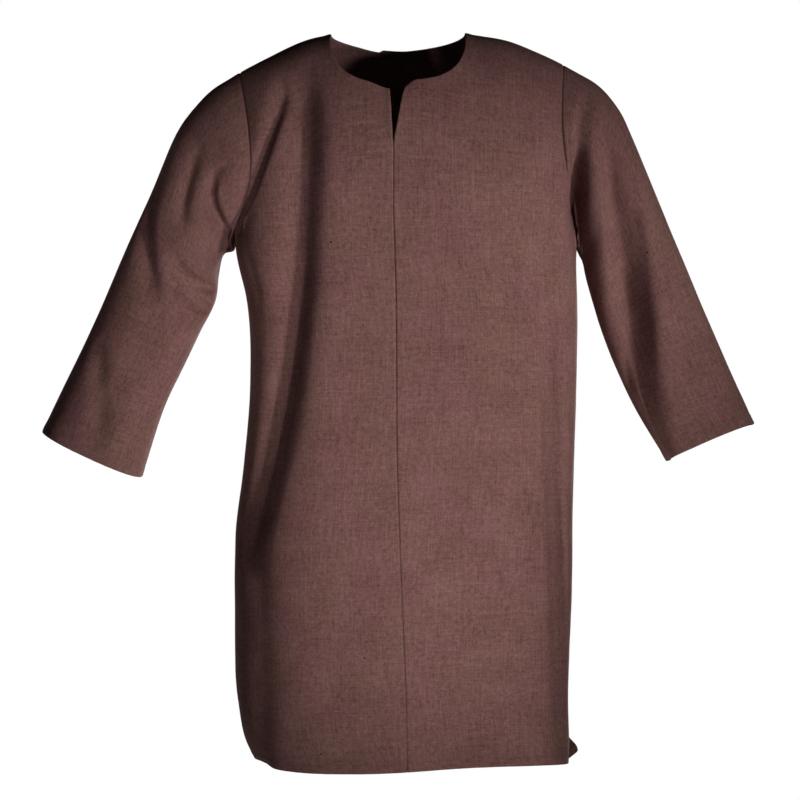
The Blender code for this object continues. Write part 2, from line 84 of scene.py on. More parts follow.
def unit(vectors):
    return vectors / np.maximum(np.linalg.norm(vectors, axis=-1, keepdims=True), 1e-12)


def softNoise(u, v, size, seed):
    # smooth random values, -1 to 1, on a lattice with cells of the given size
    cellsU, cellsV, shift = 97, 89, 300.5
    lattice = np.random.default_rng(seed).uniform(-1, 1, (cellsU, cellsV))
    a, b = u / size + shift, v / size + shift
    i, j = (np.nan_to_num(np.floor(value)).astype(int) for value in (a, b))
    f, g = ramp(a - i), ramp(b - j)
    i, j, i1, j1 = i % cellsU, j % cellsV, (i + 1) % cellsU, (j + 1) % cellsV
    return mix(mix(lattice[i, j], lattice[i1, j], f), mix(lattice[i, j1], lattice[i1, j1], f), g)


def alongLine(points):
    # how far along a line each of its points is
    return np.concatenate([[0], np.cumsum(np.linalg.norm(np.diff(points, axis=0), axis=1))])


def edged(length, step, start=(), end=()):
    # shares, 0 to 1, along a line: fine offsets in metres at its ends and even steps between them
    low = start[-1] if start else 0.0
    high = length - (end[-1] if end else 0.0)
    count = max(2, round((high - low) / step))
    middle = np.linspace(low, high, count + 1)
    parts = [np.array(start[:-1]), middle, length - np.array(end[:-1])[::-1] if end else []]
    return np.concatenate([p for p in parts if len(p)]) / length


def placed(name, data):
    # a new object in the scene
    obj = bpy.data.objects.new(name, data)
    bpy.context.scene.collection.objects.link(obj)
    return obj


# The body's surface
tunicBody = {
    "hemZ": -1.003,
    "hemLifts": ((35.0, 0.0125, 38.0), (-84.0, 0.0060, 24.0)),      # where around the body, height and spread
    "rollZ": -0.25,                         # above this the cloth rolls over to the shoulder ridge
    "rollLength": 0.30,                     # metres of cloth from there to the ridge
    "rollSquareness": 2.2,
    "backSquareness": 2.5,
    "ridgeEdges": (-0.243, 0.250),
    "girthRadius": 0.185,                   # metres of cloth for each radian around
    "levels": {
        "z": (-1.003, -0.972, -0.917, -0.806, -0.695, -0.584, -0.474, -0.363, -0.307, -0.250),
        "lowX": (-0.2010, -0.2160, -0.2272, -0.2317, -0.2313, -0.2190, -0.2108, -0.2160, -0.2285, -0.2345),
        "highX": (0.2270, 0.2285, 0.2275, 0.2305, 0.2341, 0.2368, 0.2396, 0.2410, 0.2405, 0.2450),
        "frontY": (-0.121, -0.122, -0.123, -0.124, -0.123, -0.121, -0.119, -0.119, -0.120, -0.120),
        "backY": (0.118, 0.119, 0.119, 0.118, 0.116, 0.112, 0.110, 0.112, 0.114, 0.115),
        "seamX": (0.0080, 0.0072, 0.0055, 0.0010, -0.0035, -0.0070, -0.0078, -0.0085, -0.0100, -0.0118),
        "rightSquare": (2.3, 2.3, 2.3, 2.3, 2.3, 2.4, 2.5, 2.5, 2.5, 2.5),
        "leftSquare": (4.2, 4.2, 4.2, 4.2, 4.1, 3.9, 3.6, 3.0, 2.7, 2.5),
    },
    "ridge": {
        "x": (-0.245, -0.231, -0.187, -0.129, -0.098, 0.000, 0.087, 0.152, 0.181, 0.226, 0.252),
        "z": (-0.0600, -0.0520, -0.0290, -0.0030, 0.0040, 0.0300, 0.0055, -0.0070, -0.0185, -0.0395, -0.0545),
    },
    "foldFade": 0.05,
    "calmBelowRidge": 0.08,
    # face, top x and z, low x and z, bow, widths towards lower and higher around, depth
    "folds": (
        ("front", -0.135, -0.075, -0.140, -0.290, 0.004, 0.024, 0.017, 0.021),
        ("front", -0.140, -0.290, -0.205, -0.700, 0.013, 0.028, 0.018, 0.025),
        ("front", -0.103, -0.090, -0.128, -0.600, 0.016, 0.024, 0.030, -0.005),
        ("front", -0.200, -0.640, -0.190, -1.003, 0.000, 0.045, 0.026, 0.006),
        ("front", -0.165, -0.080, -0.222, -0.260, 0.004, 0.011, 0.008, 0.013),
        ("front", 0.194, -0.340, 0.203, -0.620, 0.000, 0.010, 0.016, 0.007),
        ("front", 0.203, -0.620, 0.210, -0.940, 0.000, 0.006, 0.016, 0.012),
        ("back", -0.110, -0.100, -0.150, -0.420, -0.010, 0.026, 0.026, 0.010),
        ("back", 0.120, -0.100, 0.165, -0.400, 0.012, 0.024, 0.024, 0.009),
        ("back", -0.060, -0.420, -0.095, -1.003, 0.008, 0.032, 0.026, 0.012),
        ("back", 0.080, -0.480, 0.110, -1.003, -0.010, 0.026, 0.032, 0.013),
        ("back", 0.010, -0.560, 0.005, -1.003, 0.006, 0.028, 0.028, -0.006),
    ),
    # softer creases that the solids leave out, in the same form
    "creases": (
        ("front", -0.040, -0.110, -0.045, -0.150, 0.000, 0.012, 0.012, 0.0012),
        ("front", 0.060, -0.620, 0.072, -0.980, 0.004, 0.026, 0.026, 0.0022),
        ("front", -0.070, -0.640, -0.085, -0.990, -0.004, 0.024, 0.030, 0.0026),
        ("front", 0.120, -0.230, 0.128, -0.520, 0.006, 0.030, 0.026, 0.0018),
        ("front", 0.205, -0.215, 0.185, -0.300, 0.004, 0.010, 0.012, 0.0030),
        ("front", -0.215, -0.300, -0.196, -0.360, 0.002, 0.008, 0.010, 0.0025),
        ("front", 0.150, -0.070, 0.190, -0.190, -0.006, 0.016, 0.018, 0.0020),
        ("back", 0.190, -0.200, 0.120, -0.300, 0.010, 0.014, 0.014, 0.0035),
        ("back", -0.195, -0.190, -0.120, -0.280, 0.010, 0.014, 0.016, 0.0035),
        ("back", -0.150, -0.560, -0.165, -0.960, -0.006, 0.018, 0.022, 0.0045),
        ("back", 0.170, -0.600, 0.180, -0.970, 0.004, 0.020, 0.018, 0.0040),
        ("back", 0.040, -0.120, 0.030, -0.330, 0.004, 0.022, 0.022, 0.0020),
    ),
    "flick": {"around": 97.0, "out": 0.019, "up": 0.013, "spread": 0.018, "height": 0.045},
    "undulation": ((0.085, 0.0013, 11), (0.032, 0.00045, 12), (0.013, 0.00014, 13)),   # size, height, seed
    "undulationStretch": 0.6,               # below 1 the waves are longer down the cloth than across it
}


def hemZ(around):
    lifts = (lift * bell((around - centre + 180) % 360 - 180, spread)
             for centre, lift, spread in tunicBody["hemLifts"])
    return tunicBody["hemZ"] + sum(lifts)


def ridgeZ(x):
    return readTable(tunicBody["ridge"], "x", "z", x)


def bodyEdges(z, rise):
    # x of the right and left edges, which lean in to the ends of the ridge as the cloth rises to it
    return [mix(readTable(tunicBody["levels"], "z", column, z), edge, rise)
            for column, edge in zip(("lowX", "highX"), tunicBody["ridgeEdges"])]


def bodySquareness(across, isFront, z):
    right, left = (readTable(tunicBody["levels"], "z", column, z)
                   for column in ("rightSquare", "leftSquare"))
    return np.where(isFront, np.where(across > 0, left, right), tunicBody["backSquareness"])


def bodyPlain(around, height):
    # around: 0 in front, 90 at the wearer's left, 180 behind; height: 0 hem, 1 start of the roll, 2 ridge
    levels = tunicBody["levels"]
    rollZ = tunicBody["rollZ"]
    z = mix(hemZ(around), rollZ, np.minimum(height, 1))
    isFront = np.cos(np.radians(around)) > 0
    across, forward = superellipse(around, bodySquareness(np.sin(np.radians(around)), isFront, z))
    rise, reach = superellipse(90 * np.maximum(0, height - 1), tunicBody["rollSquareness"])
    low, high = bodyEdges(z, rise)
    x = (low + high) / 2 + (high - low) / 2 * across
    depth = np.where(forward > 0, readTable(levels, "z", "frontY", z), readTable(levels, "z", "backY", z))
    z = np.where(height > 1, mix(rollZ, ridgeZ(x), rise), z)
    return np.stack([x, depth * np.abs(forward) * reach, z], axis=-1)


def bodyPlace(face, x, z, sign=1):
    # (around, height) of the point that the front or back view shows at x, z
    x, z = np.broadcast_arrays(np.asarray(x, float), np.asarray(z, float))
    rollZ = tunicBody["rollZ"]
    rise = np.clip((z - rollZ) / (ridgeZ(x) - rollZ), 0, 1)
    height = 1 + np.degrees(np.arctan2(rise, partner(rise, tunicBody["rollSquareness"]))) / 90
    height = np.where(z <= rollZ, (z - tunicBody["hemZ"]) / (rollZ - tunicBody["hemZ"]), height)
    low, high = bodyEdges(np.minimum(z, rollZ), rise)
    across = (x - (low + high) / 2) / ((high - low) / 2)
    squareness = bodySquareness(across, face == "front", np.minimum(z, rollZ))
    around = np.degrees(np.arctan2(across, partner(across, squareness)))
    return np.stack([180 * sign - around if face == "back" else around, height], axis=-1)


def foldDepth(folds, around, z):
    # how far all the folds together take the surface inward
    total = np.zeros_like(z)
    for face, topX, topZ, lowX, lowZ, bow, lowWidth, highWidth, depth in folds:
        f = (topZ - z) / (topZ - lowZ)
        fade = tunicBody["foldFade"] / (topZ - lowZ)
        strength = ramp((f + fade) / (2 * fade))
        if lowZ > tunicBody["hemZ"]:
            strength = strength * ramp((1 + fade - f) / (2 * fade))
        f = np.clip(f, 0, 1)
        centre = bodyPlace(face, mix(topX, lowX, f) + 4 * bow * f * (1 - f), z)[..., 0]
        apart = np.radians((around - centre + 180) % 360 - 180) * tunicBody["girthRadius"]
        total += depth * strength * bell(apart, np.where(apart < 0, lowWidth, highWidth))
    return total


def clothWaves(u, v, seedShift=0):
    v = v * tunicBody["undulationStretch"]
    return sum(tall * softNoise(u, v, size, seed + seedShift) for size, tall, seed in tunicBody["undulation"])


def bodyPoint(places):
    # the folded surface, with the flick at a back hem corner
    around, height = places[..., 0], places[..., 1]
    aroundStep, heightStep = 0.5, 0.01
    point = bodyPlain(around, height)
    side = bodyPlain(around + aroundStep, height) - bodyPlain(around - aroundStep, height)
    above = bodyPlain(around, np.minimum(height + heightStep, 2))
    below = bodyPlain(around, np.maximum(height - heightStep, 0))
    normal = unit(np.cross(side, above - below))
    z = point[..., 2]
    calm = ramp((ridgeZ(point[..., 0]) - z) / tunicBody["calmBelowRidge"])
    corner = tunicBody["flick"]
    apart = np.radians(around - corner["around"]) * tunicBody["girthRadius"]
    flicked = bell(apart, corner["spread"]) * ramp(1 - (z - tunicBody["hemZ"]) / corner["height"])
    inward = foldDepth(tunicBody["folds"], around, z) + foldDepth(tunicBody["creases"], around, z)
    inward = inward + clothWaves(np.radians(around) * tunicBody["girthRadius"], z)
    point = point - normal * (inward * calm - corner["out"] * flicked)[..., None]
    point[..., 2] += corner["up"] * flicked
    return point


# The cut: centre, neckline, armholes and shoulders as lines on the body
cut = {
    "right": {
        "sign": -1, "neckX": -0.098, "tipX": -0.2244,
        "frontNeckZ": -0.0750, "slitX": -0.0168, "underarmZ": -0.272,
    },
    "left": {
        "sign": 1, "neckX": 0.087, "tipX": 0.2230,
        "frontNeckZ": -0.0705, "slitX": 0.0042, "underarmZ": -0.292,
    },
    "backNeckZ": -0.0094,
    "neckSquareness": {"front": 2.8, "back": 1.5},
    "slitTipZ": -0.155,
    "slitTipWidth": 0.0012,
    "slitOverlap": (0.003, 0.001),          # how far the centre seam's groove and the slit's hem pass the tip
    "neckCorner": 0.5,
    "seamGap": 0.0003,
    # the share of the gap that is left at the hem, where light floor can show through the seam, and what
    # opens above: share, height and blend
    "hemGapShare": 0.1,
    "gapOpens": ((0.35, -0.972, 0.02), (0.55, -0.62, 0.08)),
    # how far each armhole seam lies inside the straight line, by its drop from the shoulder
    "armhole": {
        "drop": (0.0, 0.2, 0.4, 0.6, 0.8, 1.0),
        "rightFront": (0.0, 0.0110, 0.0190, 0.0225, 0.0150, 0.0),
        "leftFront": (0.0, 0.0080, 0.0120, 0.0090, 0.0040, 0.0),
        "rightBack": (0.0, 0.0060, 0.0110, 0.0130, 0.0090, 0.0),
        "leftBack": (0.0, 0.0050, 0.0090, 0.0080, 0.0045, 0.0),
    },
    # shares of the way from the centre to the side, and of the armhole, where the blocks of the grid meet
    "neckShare": 1 / 3,
    "chestShare": 2 / 3,
    "lengths": {"neck": 0.085, "shoulder": 0.160, "skirt": 0.720, "chest": 0.190, "yoke": 0.080},
    "grain": 0.0038,                        # metres from column to column
    "rowGrain": 0.00399,
    "fineEdge": (0.0, 0.0005, 0.0010, 0.0016, 0.0024, 0.0034, 0.0048, 0.0066),
    "fineHem": (0.0, 0.0006, 0.0014, 0.0026, 0.0042, 0.0060, 0.0080, 0.0100, 0.0116, 0.0128, 0.0138, 0.0148,
                0.0162, 0.0184, 0.0214),
}


def slitHalf(side, z):
    # half the width of the slit, or of the seam's gap below it
    seam = readTable(tunicBody["levels"], "z", "seamX", tunicBody["rollZ"])
    f = (z - cut["slitTipZ"]) / (side["frontNeckZ"] - cut["slitTipZ"])
    wide = mix(cut["slitTipWidth"] / 2, abs(side["slitX"] - seam), np.minimum(f, 1))
    share = sum((more * ramp((z - at) / blend) for more, at, blend in cut["gapOpens"]), cut["hemGapShare"])
    return np.where(f > 0, wide, cut["seamGap"] / 2 * share)


def centreLine(side, face, z):
    if face == "back":
        return bodyPlace("back", 0 * z, z, side["sign"])
    x = readTable(tunicBody["levels"], "z", "seamX", z) + side["sign"] * slitHalf(side, z)
    return bodyPlace("front", x, z)


def neckCurve(name, face):
    side = cut[name]
    squareness = cut["neckSquareness"][face]
    lowZ = side["frontNeckZ"] if face == "front" else cut["backNeckZ"]
    topZ = ridgeZ(side["neckX"])
    centre = max(0.0, side["slitX"] / side["neckX"]) if face == "front" else 0.0
    first = math.degrees(math.atan2(centre, partner(centre, squareness)))

    def place(f):
        across, down = superellipse(mix(first, 90, f), squareness)
        return bodyPlace(face, side["neckX"] * across, mix(topZ, lowZ, down), side["sign"])

    return place


def armholeCurve(name, face):
    side = cut[name]
    low, high = bodyEdges(side["underarmZ"], 0)
    underX = low if side["sign"] < 0 else high

    def place(f):
        drop = 1 - f
        inset = readTable(cut["armhole"], "drop", name + face.title(), drop)
        z = mix(ridgeZ(side["tipX"]), side["underarmZ"], drop)
        places = bodyPlace(face, mix(side["tipX"], underX, drop) - side["sign"] * inset, z, side["sign"])
        around = np.where(drop == 1, side["sign"] * 90.0, places[..., 0])
        height = np.where(drop == 0, 2.0, np.where(drop == 1, bodyPlace(face, 0, z)[..., 1], places[..., 1]))
        return np.stack([around, height], axis=-1)

    return place


def shoulderCurve(name, face):
    side = cut[name]

    def place(f):
        x = mix(side["neckX"], side["tipX"], f)
        places = bodyPlace(face, x, ridgeZ(x), side["sign"])
        places[..., 1] = 2.0
        return places

    return place


def spaced(curve, shares):
    # the curve's places at the given shares of its length
    samples = np.linspace(0, 1, 241)
    lengths = alongLine(bodyPoint(curve(samples)))
    return curve(np.interp(np.asarray(shares) * lengths[-1], lengths, samples))


def part(curve, first, last):
    return lambda f: curve(mix(first, last, f))


def straight(a, b, shares):
    return a + (b - a) * np.asarray(shares)[:, None]


def patch(bottom, top, left, right, u, w):
    # grid of places between four borders that meet at their corners
    u, w = u[None, :, None], w[:, None, None]
    corners = mix(mix(bottom[0], bottom[-1], u), mix(top[0], top[-1], u), w)
    return mix(bottom[None], top[None], w) + mix(left[:, None], right[:, None], u) - corners


def panelShares(face):
    # where the mesh's columns and rows lie, as shares of each line's length
    grain, rowGrain, fine, lengths = cut["grain"], cut["rowGrain"], cut["fineEdge"], cut["lengths"]
    atCorner = fine[:6]                     # beside the neckline's corner
    neck = edged(lengths["neck"], grain, start=fine if face == "front" else ())
    shoulder = edged(lengths["shoulder"], grain, start=atCorner, end=fine)
    return {
        "neck": neck,
        "shoulder": shoulder,
        "columns": np.concatenate([neck[:-1] * cut["neckShare"], mix(cut["neckShare"], 1, shoulder)]),
        "skirt": edged(lengths["skirt"], rowGrain, start=cut["fineHem"]),
        "chest": edged(lengths["chest"], rowGrain, end=atCorner),
        "yoke": edged(lengths["yoke"], grain, end=fine),
    }


def armholeShares(face):
    # the same along the armhole, from the underarm up
    shares, half = panelShares(face), cut["chestShare"]
    return np.concatenate([shares["chest"] * half, mix(half, 1, shares["yoke"][1:])])


def panelPlaces(name, face):
    # one half of a front or back: rows go up from the hem and columns out from the centre
    side = cut[name]
    shares = panelShares(face)
    neckZ = side["frontNeckZ"] if face == "front" else cut["backNeckZ"]
    columns, split = shares["columns"], len(shares["neck"]) - 1
    armhole = spaced(armholeCurve(name, face), armholeShares(face))
    neck = neckCurve(name, face)
    neckBottom = spaced(part(neck, 0, cut["neckCorner"]), shares["neck"])
    neckSide = spaced(part(neck, cut["neckCorner"], 1), shares["yoke"])
    shoulder = spaced(shoulderCurve(name, face), shares["shoulder"])

    skirtZ = mix(tunicBody["hemZ"], side["underarmZ"], shares["skirt"])
    centre = centreLine(side, face, skirtZ)
    last = bodyPlace(face, 0 * skirtZ, skirtZ)
    last[:, 0] = side["sign"] * 90.0
    skirt = mix(centre[:, None], last[:, None], columns[None, :, None])
    chestRow = len(shares["chest"]) - 1
    middle = centreLine(side, face, mix(side["underarmZ"], neckZ, shares["chest"]))
    across = straight(neckBottom[-1], armhole[chestRow], shares["shoulder"])
    top = np.concatenate([neckBottom, across[1:]])
    chest = patch(skirt[-1], top, middle, armhole[: chestRow + 1], columns, shares["chest"])[1:]
    yoke = patch(across, shoulder, neckSide, armhole[chestRow:], shares["shoulder"], shares["yoke"])[1:]
    blank = np.full((len(yoke), split, 2), np.nan)
    places = np.concatenate([skirt, chest, np.concatenate([blank, yoke], axis=1)])
    marks = {"split": split, "under": len(skirtZ) - 1, "neck": len(skirtZ) - 1 + chestRow}
    return places, marks


# The sleeves: tilted sections from the armhole to the cuff. Run is 0 at the armhole and 1 at the cuff. Turn
# is 0 at the outer edge, 90 in front, 180 at the inner edge and 270 behind
sleeves = {
    "squareness": 2.25,
    "headBlend": 3.0,                       # sections over which the armhole's shape fades out
    "radius": 0.06,                         # metres of cloth for each radian around
    "sectionLength": 0.06,                  # metres of cloth from one section to the next
    "foldFade": 0.15,                       # half the share of a fold's length over which it begins or ends
    "foldsToCuff": 0.97,                    # a fold that ends beyond this run doesn't fade out
    "waveSeed": 20,
    "grain": 0.0038,
    "fineEdge": (0.0, 0.0006, 0.0012, 0.0020, 0.0030, 0.0044, 0.0062),
    "right": {
        "cuffDrop": 0.005,
        # run and turn, their spreads, and how far the cloth hangs down and towards the body
        "sag": (0.16, 202, 0.12, 34, 0.012, 0.008),
        "sections": {
            "key": tuple(range(10)),
            "outerX": (-0.2244, -0.2620, -0.2936, -0.3158, -0.3442,
                       -0.3743, -0.4040, -0.4335, -0.4626, -0.4944),
            "outerZ": (-0.0500, -0.0735, -0.1066, -0.1413, -0.2105,
                       -0.2770, -0.3490, -0.4155, -0.4764, -0.5443),
            "innerX": (-0.2303, -0.2370, -0.2420, -0.2492, -0.2540,
                       -0.2588, -0.2795, -0.3047, -0.3310, -0.3587),
            "innerZ": (-0.2720, -0.2790, -0.2880, -0.3010, -0.3300,
                       -0.3656, -0.4072, -0.4598, -0.5180, -0.6066),
            "halfDepth": (0.050, 0.058, 0.062, 0.063, 0.061, 0.058, 0.055, 0.053, 0.051, 0.050),
            "midY": (0.0, 0.0, 0.0, 0.0, -0.001, -0.002, -0.004, -0.007, -0.011, -0.016),
        },
        # top run and turn, low run and turn, widths towards the outer and the inner edge, depth
        "folds": (
            (0.18, 55, 0.62, 78, 0.016, 0.016, 0.002),
            (0.50, 120, 1.00, 84, 0.018, 0.018, 0.002),
            (0.26, 290, 0.96, 262, 0.018, 0.018, 0.008),
        ),
        # face, top x and z, low x and z, widths towards the outer and the inner edge, depth
        "creases": (
            ("front", -0.4144, -0.4264, -0.4117, -0.5500, 0.011, 0.013, 0.0045),
            ("front", -0.3572, -0.5014, -0.3626, -0.5700, 0.009, 0.009, 0.003),
            ("back", -0.2900, -0.1500, -0.3150, -0.3000, 0.014, 0.012, 0.005),
            ("back", -0.3300, -0.3500, -0.3900, -0.5600, 0.012, 0.014, 0.004),
        ),
    },
    "left": {
        "cuffDrop": -0.008,
        "sag": (0.13, 203, 0.10, 30, 0.001, -0.001),
        "sections": {
            "key": tuple(range(10)),
            "outerX": (0.2230, 0.2690, 0.2985, 0.3180, 0.3460,
                       0.3750, 0.4030, 0.4300, 0.4575, 0.4840),
            "outerZ": (-0.0385, -0.0655, -0.0990, -0.1380, -0.2064,
                       -0.2770, -0.3463, -0.4100, -0.4737, -0.5350),
            "innerX": (0.2415, 0.2465, 0.2490, 0.2515, 0.2552,
                       0.2655, 0.2772, 0.2960, 0.3195, 0.3615),
            "innerZ": (-0.2920, -0.2990, -0.3055, -0.3150, -0.3345,
                       -0.3712, -0.4086, -0.4570, -0.5110, -0.5880),
            "halfDepth": (0.050, 0.058, 0.062, 0.063, 0.061, 0.058, 0.055, 0.053, 0.051, 0.049),
            "midY": (0.0, 0.0, 0.0, 0.0, -0.001, -0.002, -0.004, -0.007, -0.011, -0.016),
        },
        "folds": (
            (0.24, 300, 0.95, 255, 0.018, 0.018, 0.008),
        ),
        "creases": (
            ("front", 0.2760, -0.1600, 0.2930, -0.3651, 0.022, 0.012, 0.009),
            ("front", 0.2930, -0.3500, 0.3311, -0.5800, 0.026, 0.020, 0.008),
            ("front", 0.3243, -0.2288, 0.3475, -0.4060, 0.014, 0.009, -0.004),
            ("front", 0.3475, -0.3900, 0.3788, -0.5900, 0.014, 0.009, -0.005),
            ("front", 0.2390, -0.1000, 0.2400, -0.1900, 0.010, 0.007, 0.006),
            ("front", 0.2400, -0.1800, 0.2440, -0.2850, 0.011, 0.008, 0.012),
            ("back", 0.2850, -0.1500, 0.3050, -0.3000, 0.014, 0.012, 0.005),
            ("back", 0.3300, -0.3300, 0.3900, -0.5500, 0.014, 0.012, 0.004),
        ),
    },
}


def sleeveLine(name, along):
    # the outer and inner edges, half depths and middles of the sections at the given places
    rows = sleeves[name]["sections"]
    read = {column: readTable(rows, "key", column, along) for column in rows if column != "key"}
    outer = np.stack([read["outerX"], 0 * along, read["outerZ"]], -1)
    inner = np.stack([read["innerX"], 0 * along, read["innerZ"]], -1)
    return outer, inner, read["halfDepth"], read["midY"]


def sleevePlace(name, face, x, z):
    # (run, turn) of the point that the front or back view shows at x, z
    last = len(sleeves[name]["sections"]["key"]) - 1
    along = np.linspace(0, last, 361)
    outer, inner, _, _ = sleeveLine(name, along)
    out = outer - inner
    beside = (x - inner[:, 0]) * out[:, 2] - (z - inner[:, 2]) * out[:, 0]
    k = int(np.argmin(np.abs(beside)))
    share = ((x - inner[k, 0]) * out[k, 0] + (z - inner[k, 2]) * out[k, 2]) / (out[k] @ out[k])
    across = np.clip(2 * share - 1, -1, 1)
    turn = 90 - np.degrees(np.arctan2(across, partner(across, sleeves["squareness"])))
    return along[k] / last, turn if face == "front" else 360 - turn


def sleeveFoldDepth(name, run, turn):
    rows, fade = list(sleeves[name]["folds"]), sleeves["foldFade"]
    for face, topX, topZ, lowX, lowZ, outerWidth, innerWidth, depth in sleeves[name]["creases"]:
        top, low = sleevePlace(name, face, topX, topZ), sleevePlace(name, face, lowX, lowZ)
        widths = (outerWidth, innerWidth) if face == "front" else (innerWidth, outerWidth)
        rows.append((*top, *low, *widths, depth))
    total = np.zeros(np.broadcast(run, turn).shape)
    for topRun, topTurn, lowRun, lowTurn, lowWidth, highWidth, depth in rows:
        f = (run - topRun) / (lowRun - topRun)
        strength = ramp((f + fade) / (2 * fade))
        if lowRun < sleeves["foldsToCuff"]:
            strength = strength * ramp((1 + fade - f) / (2 * fade))
        centre = mix(topTurn, lowTurn, np.clip(f, 0, 1))
        apart = np.radians((turn - centre + 180) % 360 - 180) * sleeves["radius"]
        total = total + depth * strength * bell(apart, np.where(apart < 0, lowWidth, highWidth))
    return total


def sleevePoint(name, along, turn):
    outer, inner, depth, midY = sleeveLine(name, along)
    across, forward = superellipse(90 - turn, sleeves["squareness"])
    last = len(sleeves[name]["sections"]["key"]) - 1
    u, v = np.radians(turn) * sleeves["radius"], along * sleeves["sectionLength"]
    fold = sleeveFoldDepth(name, along / last, turn) + clothWaves(u, v, sleeves["waveSeed"])
    out = (outer - inner) / 2
    length = np.linalg.norm(out, axis=-1)
    point = (outer + inner) / 2 + out * (across * (1 - fold / length))[..., None]
    point[..., 1] += midY - depth * forward * (1 - fold / depth)
    point[..., 2] -= sleeves[name]["cuffDrop"] * np.maximum(0, forward) * ramp(along - last + 1)
    sagRun, sagTurn, runSpread, turnSpread, down, inward = sleeves[name]["sag"]
    sag = bell(along / last - sagRun, runSpread) * bell((turn - sagTurn + 180) % 360 - 180, turnSpread)
    point[..., 2] -= down * sag
    point[..., 0] += inward * sag
    return point


def sleeveTurns(name, along, shares):
    # turns at the given length shares of the front half (0 to 180) and of the back half (360 to 180)
    samples = np.linspace(0, 1, 121)
    turns = []
    for direction in (1, -1):
        arc = sleevePoint(name, np.full(len(samples), along), 180 * samples * direction % 360)
        lengths = alongLine(arc)
        spots = np.interp(np.asarray(shares) * lengths[-1], lengths, samples)
        turns.append(180 * spots * direction % 360)
    return np.concatenate([turns[0], turns[1][-2:0:-1]])


def sleeveRings(name, loop, shares):
    # rings of points from the armhole's loop to the cuff. The shares go from the shoulder tip to the underarm
    last = len(sleeves[name]["sections"]["key"]) - 1
    outer, inner, _, _ = sleeveLine(name, np.array([0.0, float(last)]))
    long = float(np.linalg.norm(np.diff((outer + inner) / 2, axis=0)))
    steps = edged(long, sleeves["grain"], start=sleeves["fineEdge"], end=cut["fineHem"])
    headTurns = sleeveTurns(name, 0.0, shares)
    head = sleevePoint(name, np.zeros(len(loop)), headTurns)
    rings, turns = [loop], [headTurns]
    for along in steps[1:] * last:
        turn = sleeveTurns(name, along, shares)
        carry = 1 - ramp(along / sleeves["headBlend"])
        rings.append(sleevePoint(name, np.full(len(turn), along), turn) + (loop - head) * carry)
        turns.append(turn)
    return np.array(rings), np.array(turns), steps * last


# The cloth's walls, seams and turned edges
cloth = {
    "thick": 0.0009,
    "hemThick": 0.0019,                     # where the edge is turned under
    "hemDeep": 0.0138,
    "neckDeep": 0.0066,
    "rimBulge": 0.32,                       # how round the cut edge is, as a share of its thickness
    "seamRoll": (0.0013, 0.0011),           # depth and width of the groove along a seam
    "pucker": (0.00022, 0.009, 0.006),      # height, length and reach of the small gathers beside stitches
    "puckerStart": 0.0025,                  # they begin this far from a seam
    # strength of a second wave of gathers, and how many times finer it is
    "finerGathers": {"seam": (0.5, 2.3), "edge": (0.6, 2)},
    "edgeGathers": (1.5, 0.4),              # at a turned edge: times the height, and how they vary across it
    "turnedBand": (0.00045, 0.0012),        # how far a turned edge stands out, and the width of its step
    "stitchDent": (0.0005, 0.0014, 0.0011),     # depth, distance from the step and width of the stitched line
    "edgeRound": (0.0006, 0.0007),          # depth and width
    # at a sleeve's head: times the pucker's height and length, middle and blend
    "headGathers": (2.2, 1.2, 0.006, 0.003),
    "underarmShare": 0.6,                   # how strong the underarm seam is beside the others
    "seeds": {"front": 31, "sleeve": 61, "backLeft": 131, "backRight": 171},
}


def gridNormals(points, wrap=False):
    # outward normals of a grid of points, which may have blank corners and may close on itself
    there = ~np.isnan(points[..., 0])
    filled = np.nan_to_num(points)
    if wrap:
        filled = np.concatenate([filled, filled[:, :1]], axis=1)
        there = np.concatenate([there, there[:, :1]], axis=1)
    a, b, c, d = filled[:-1, :-1], filled[:-1, 1:], filled[1:, 1:], filled[1:, :-1]
    whole = there[:-1, :-1] & there[:-1, 1:] & there[1:, 1:] & there[1:, :-1]
    normal = unit(np.cross(c - a, d - b)) * whole[..., None]
    total = np.zeros_like(filled)
    for rows, columns in ((slice(None, -1), slice(None, -1)), (slice(None, -1), slice(1, None)),
                          (slice(1, None), slice(1, None)), (slice(1, None), slice(None, -1))):
        total[rows, columns] += normal
    if wrap:
        total[:, 0] += total[:, -1]
        total = total[:, :-1]
    return unit(total)


def distanceTo(points, line):
    # distance of each grid point from a line given by its points, and how far along the line that is
    along, spacing = alongLine(line), 0.001
    dense = np.arange(0, along[-1], spacing)
    spots = np.stack([np.interp(dense, along, line[:, k]) for k in range(3)], axis=-1)
    tree = KDTree(len(spots))
    for i, spot in enumerate(spots):
        tree.insert(spot, i)
    tree.balance()
    found = np.full(points.shape[:-1], 1.0)
    place = np.zeros(points.shape[:-1])
    for index in np.argwhere(~np.isnan(points[..., 0])):
        index = tuple(index)
        _, i, distance = tree.find(points[index])
        found[index], place[index] = distance, dense[i]
    return found, place


def gathered(kind, place, across, seed):
    # gathers along a seam or an edge, in two waves
    long = cloth["pucker"][1]
    strength, finer = cloth["finerGathers"][kind]
    secondWave = softNoise(place, 0 * place, long / finer, seed + 1)
    return softNoise(place, across, long, seed) + strength * secondWave


def seamRelief(distance, place, seed):
    # a groove along the seam, with small gathers beside it
    deep, wide = cloth["seamRoll"]
    tall, _, reach = cloth["pucker"]
    beside = bell(distance, reach) - bell(distance, cloth["puckerStart"])
    return deep * bell(distance, wide) + tall * gathered("seam", place, 0 * place, seed) * beside


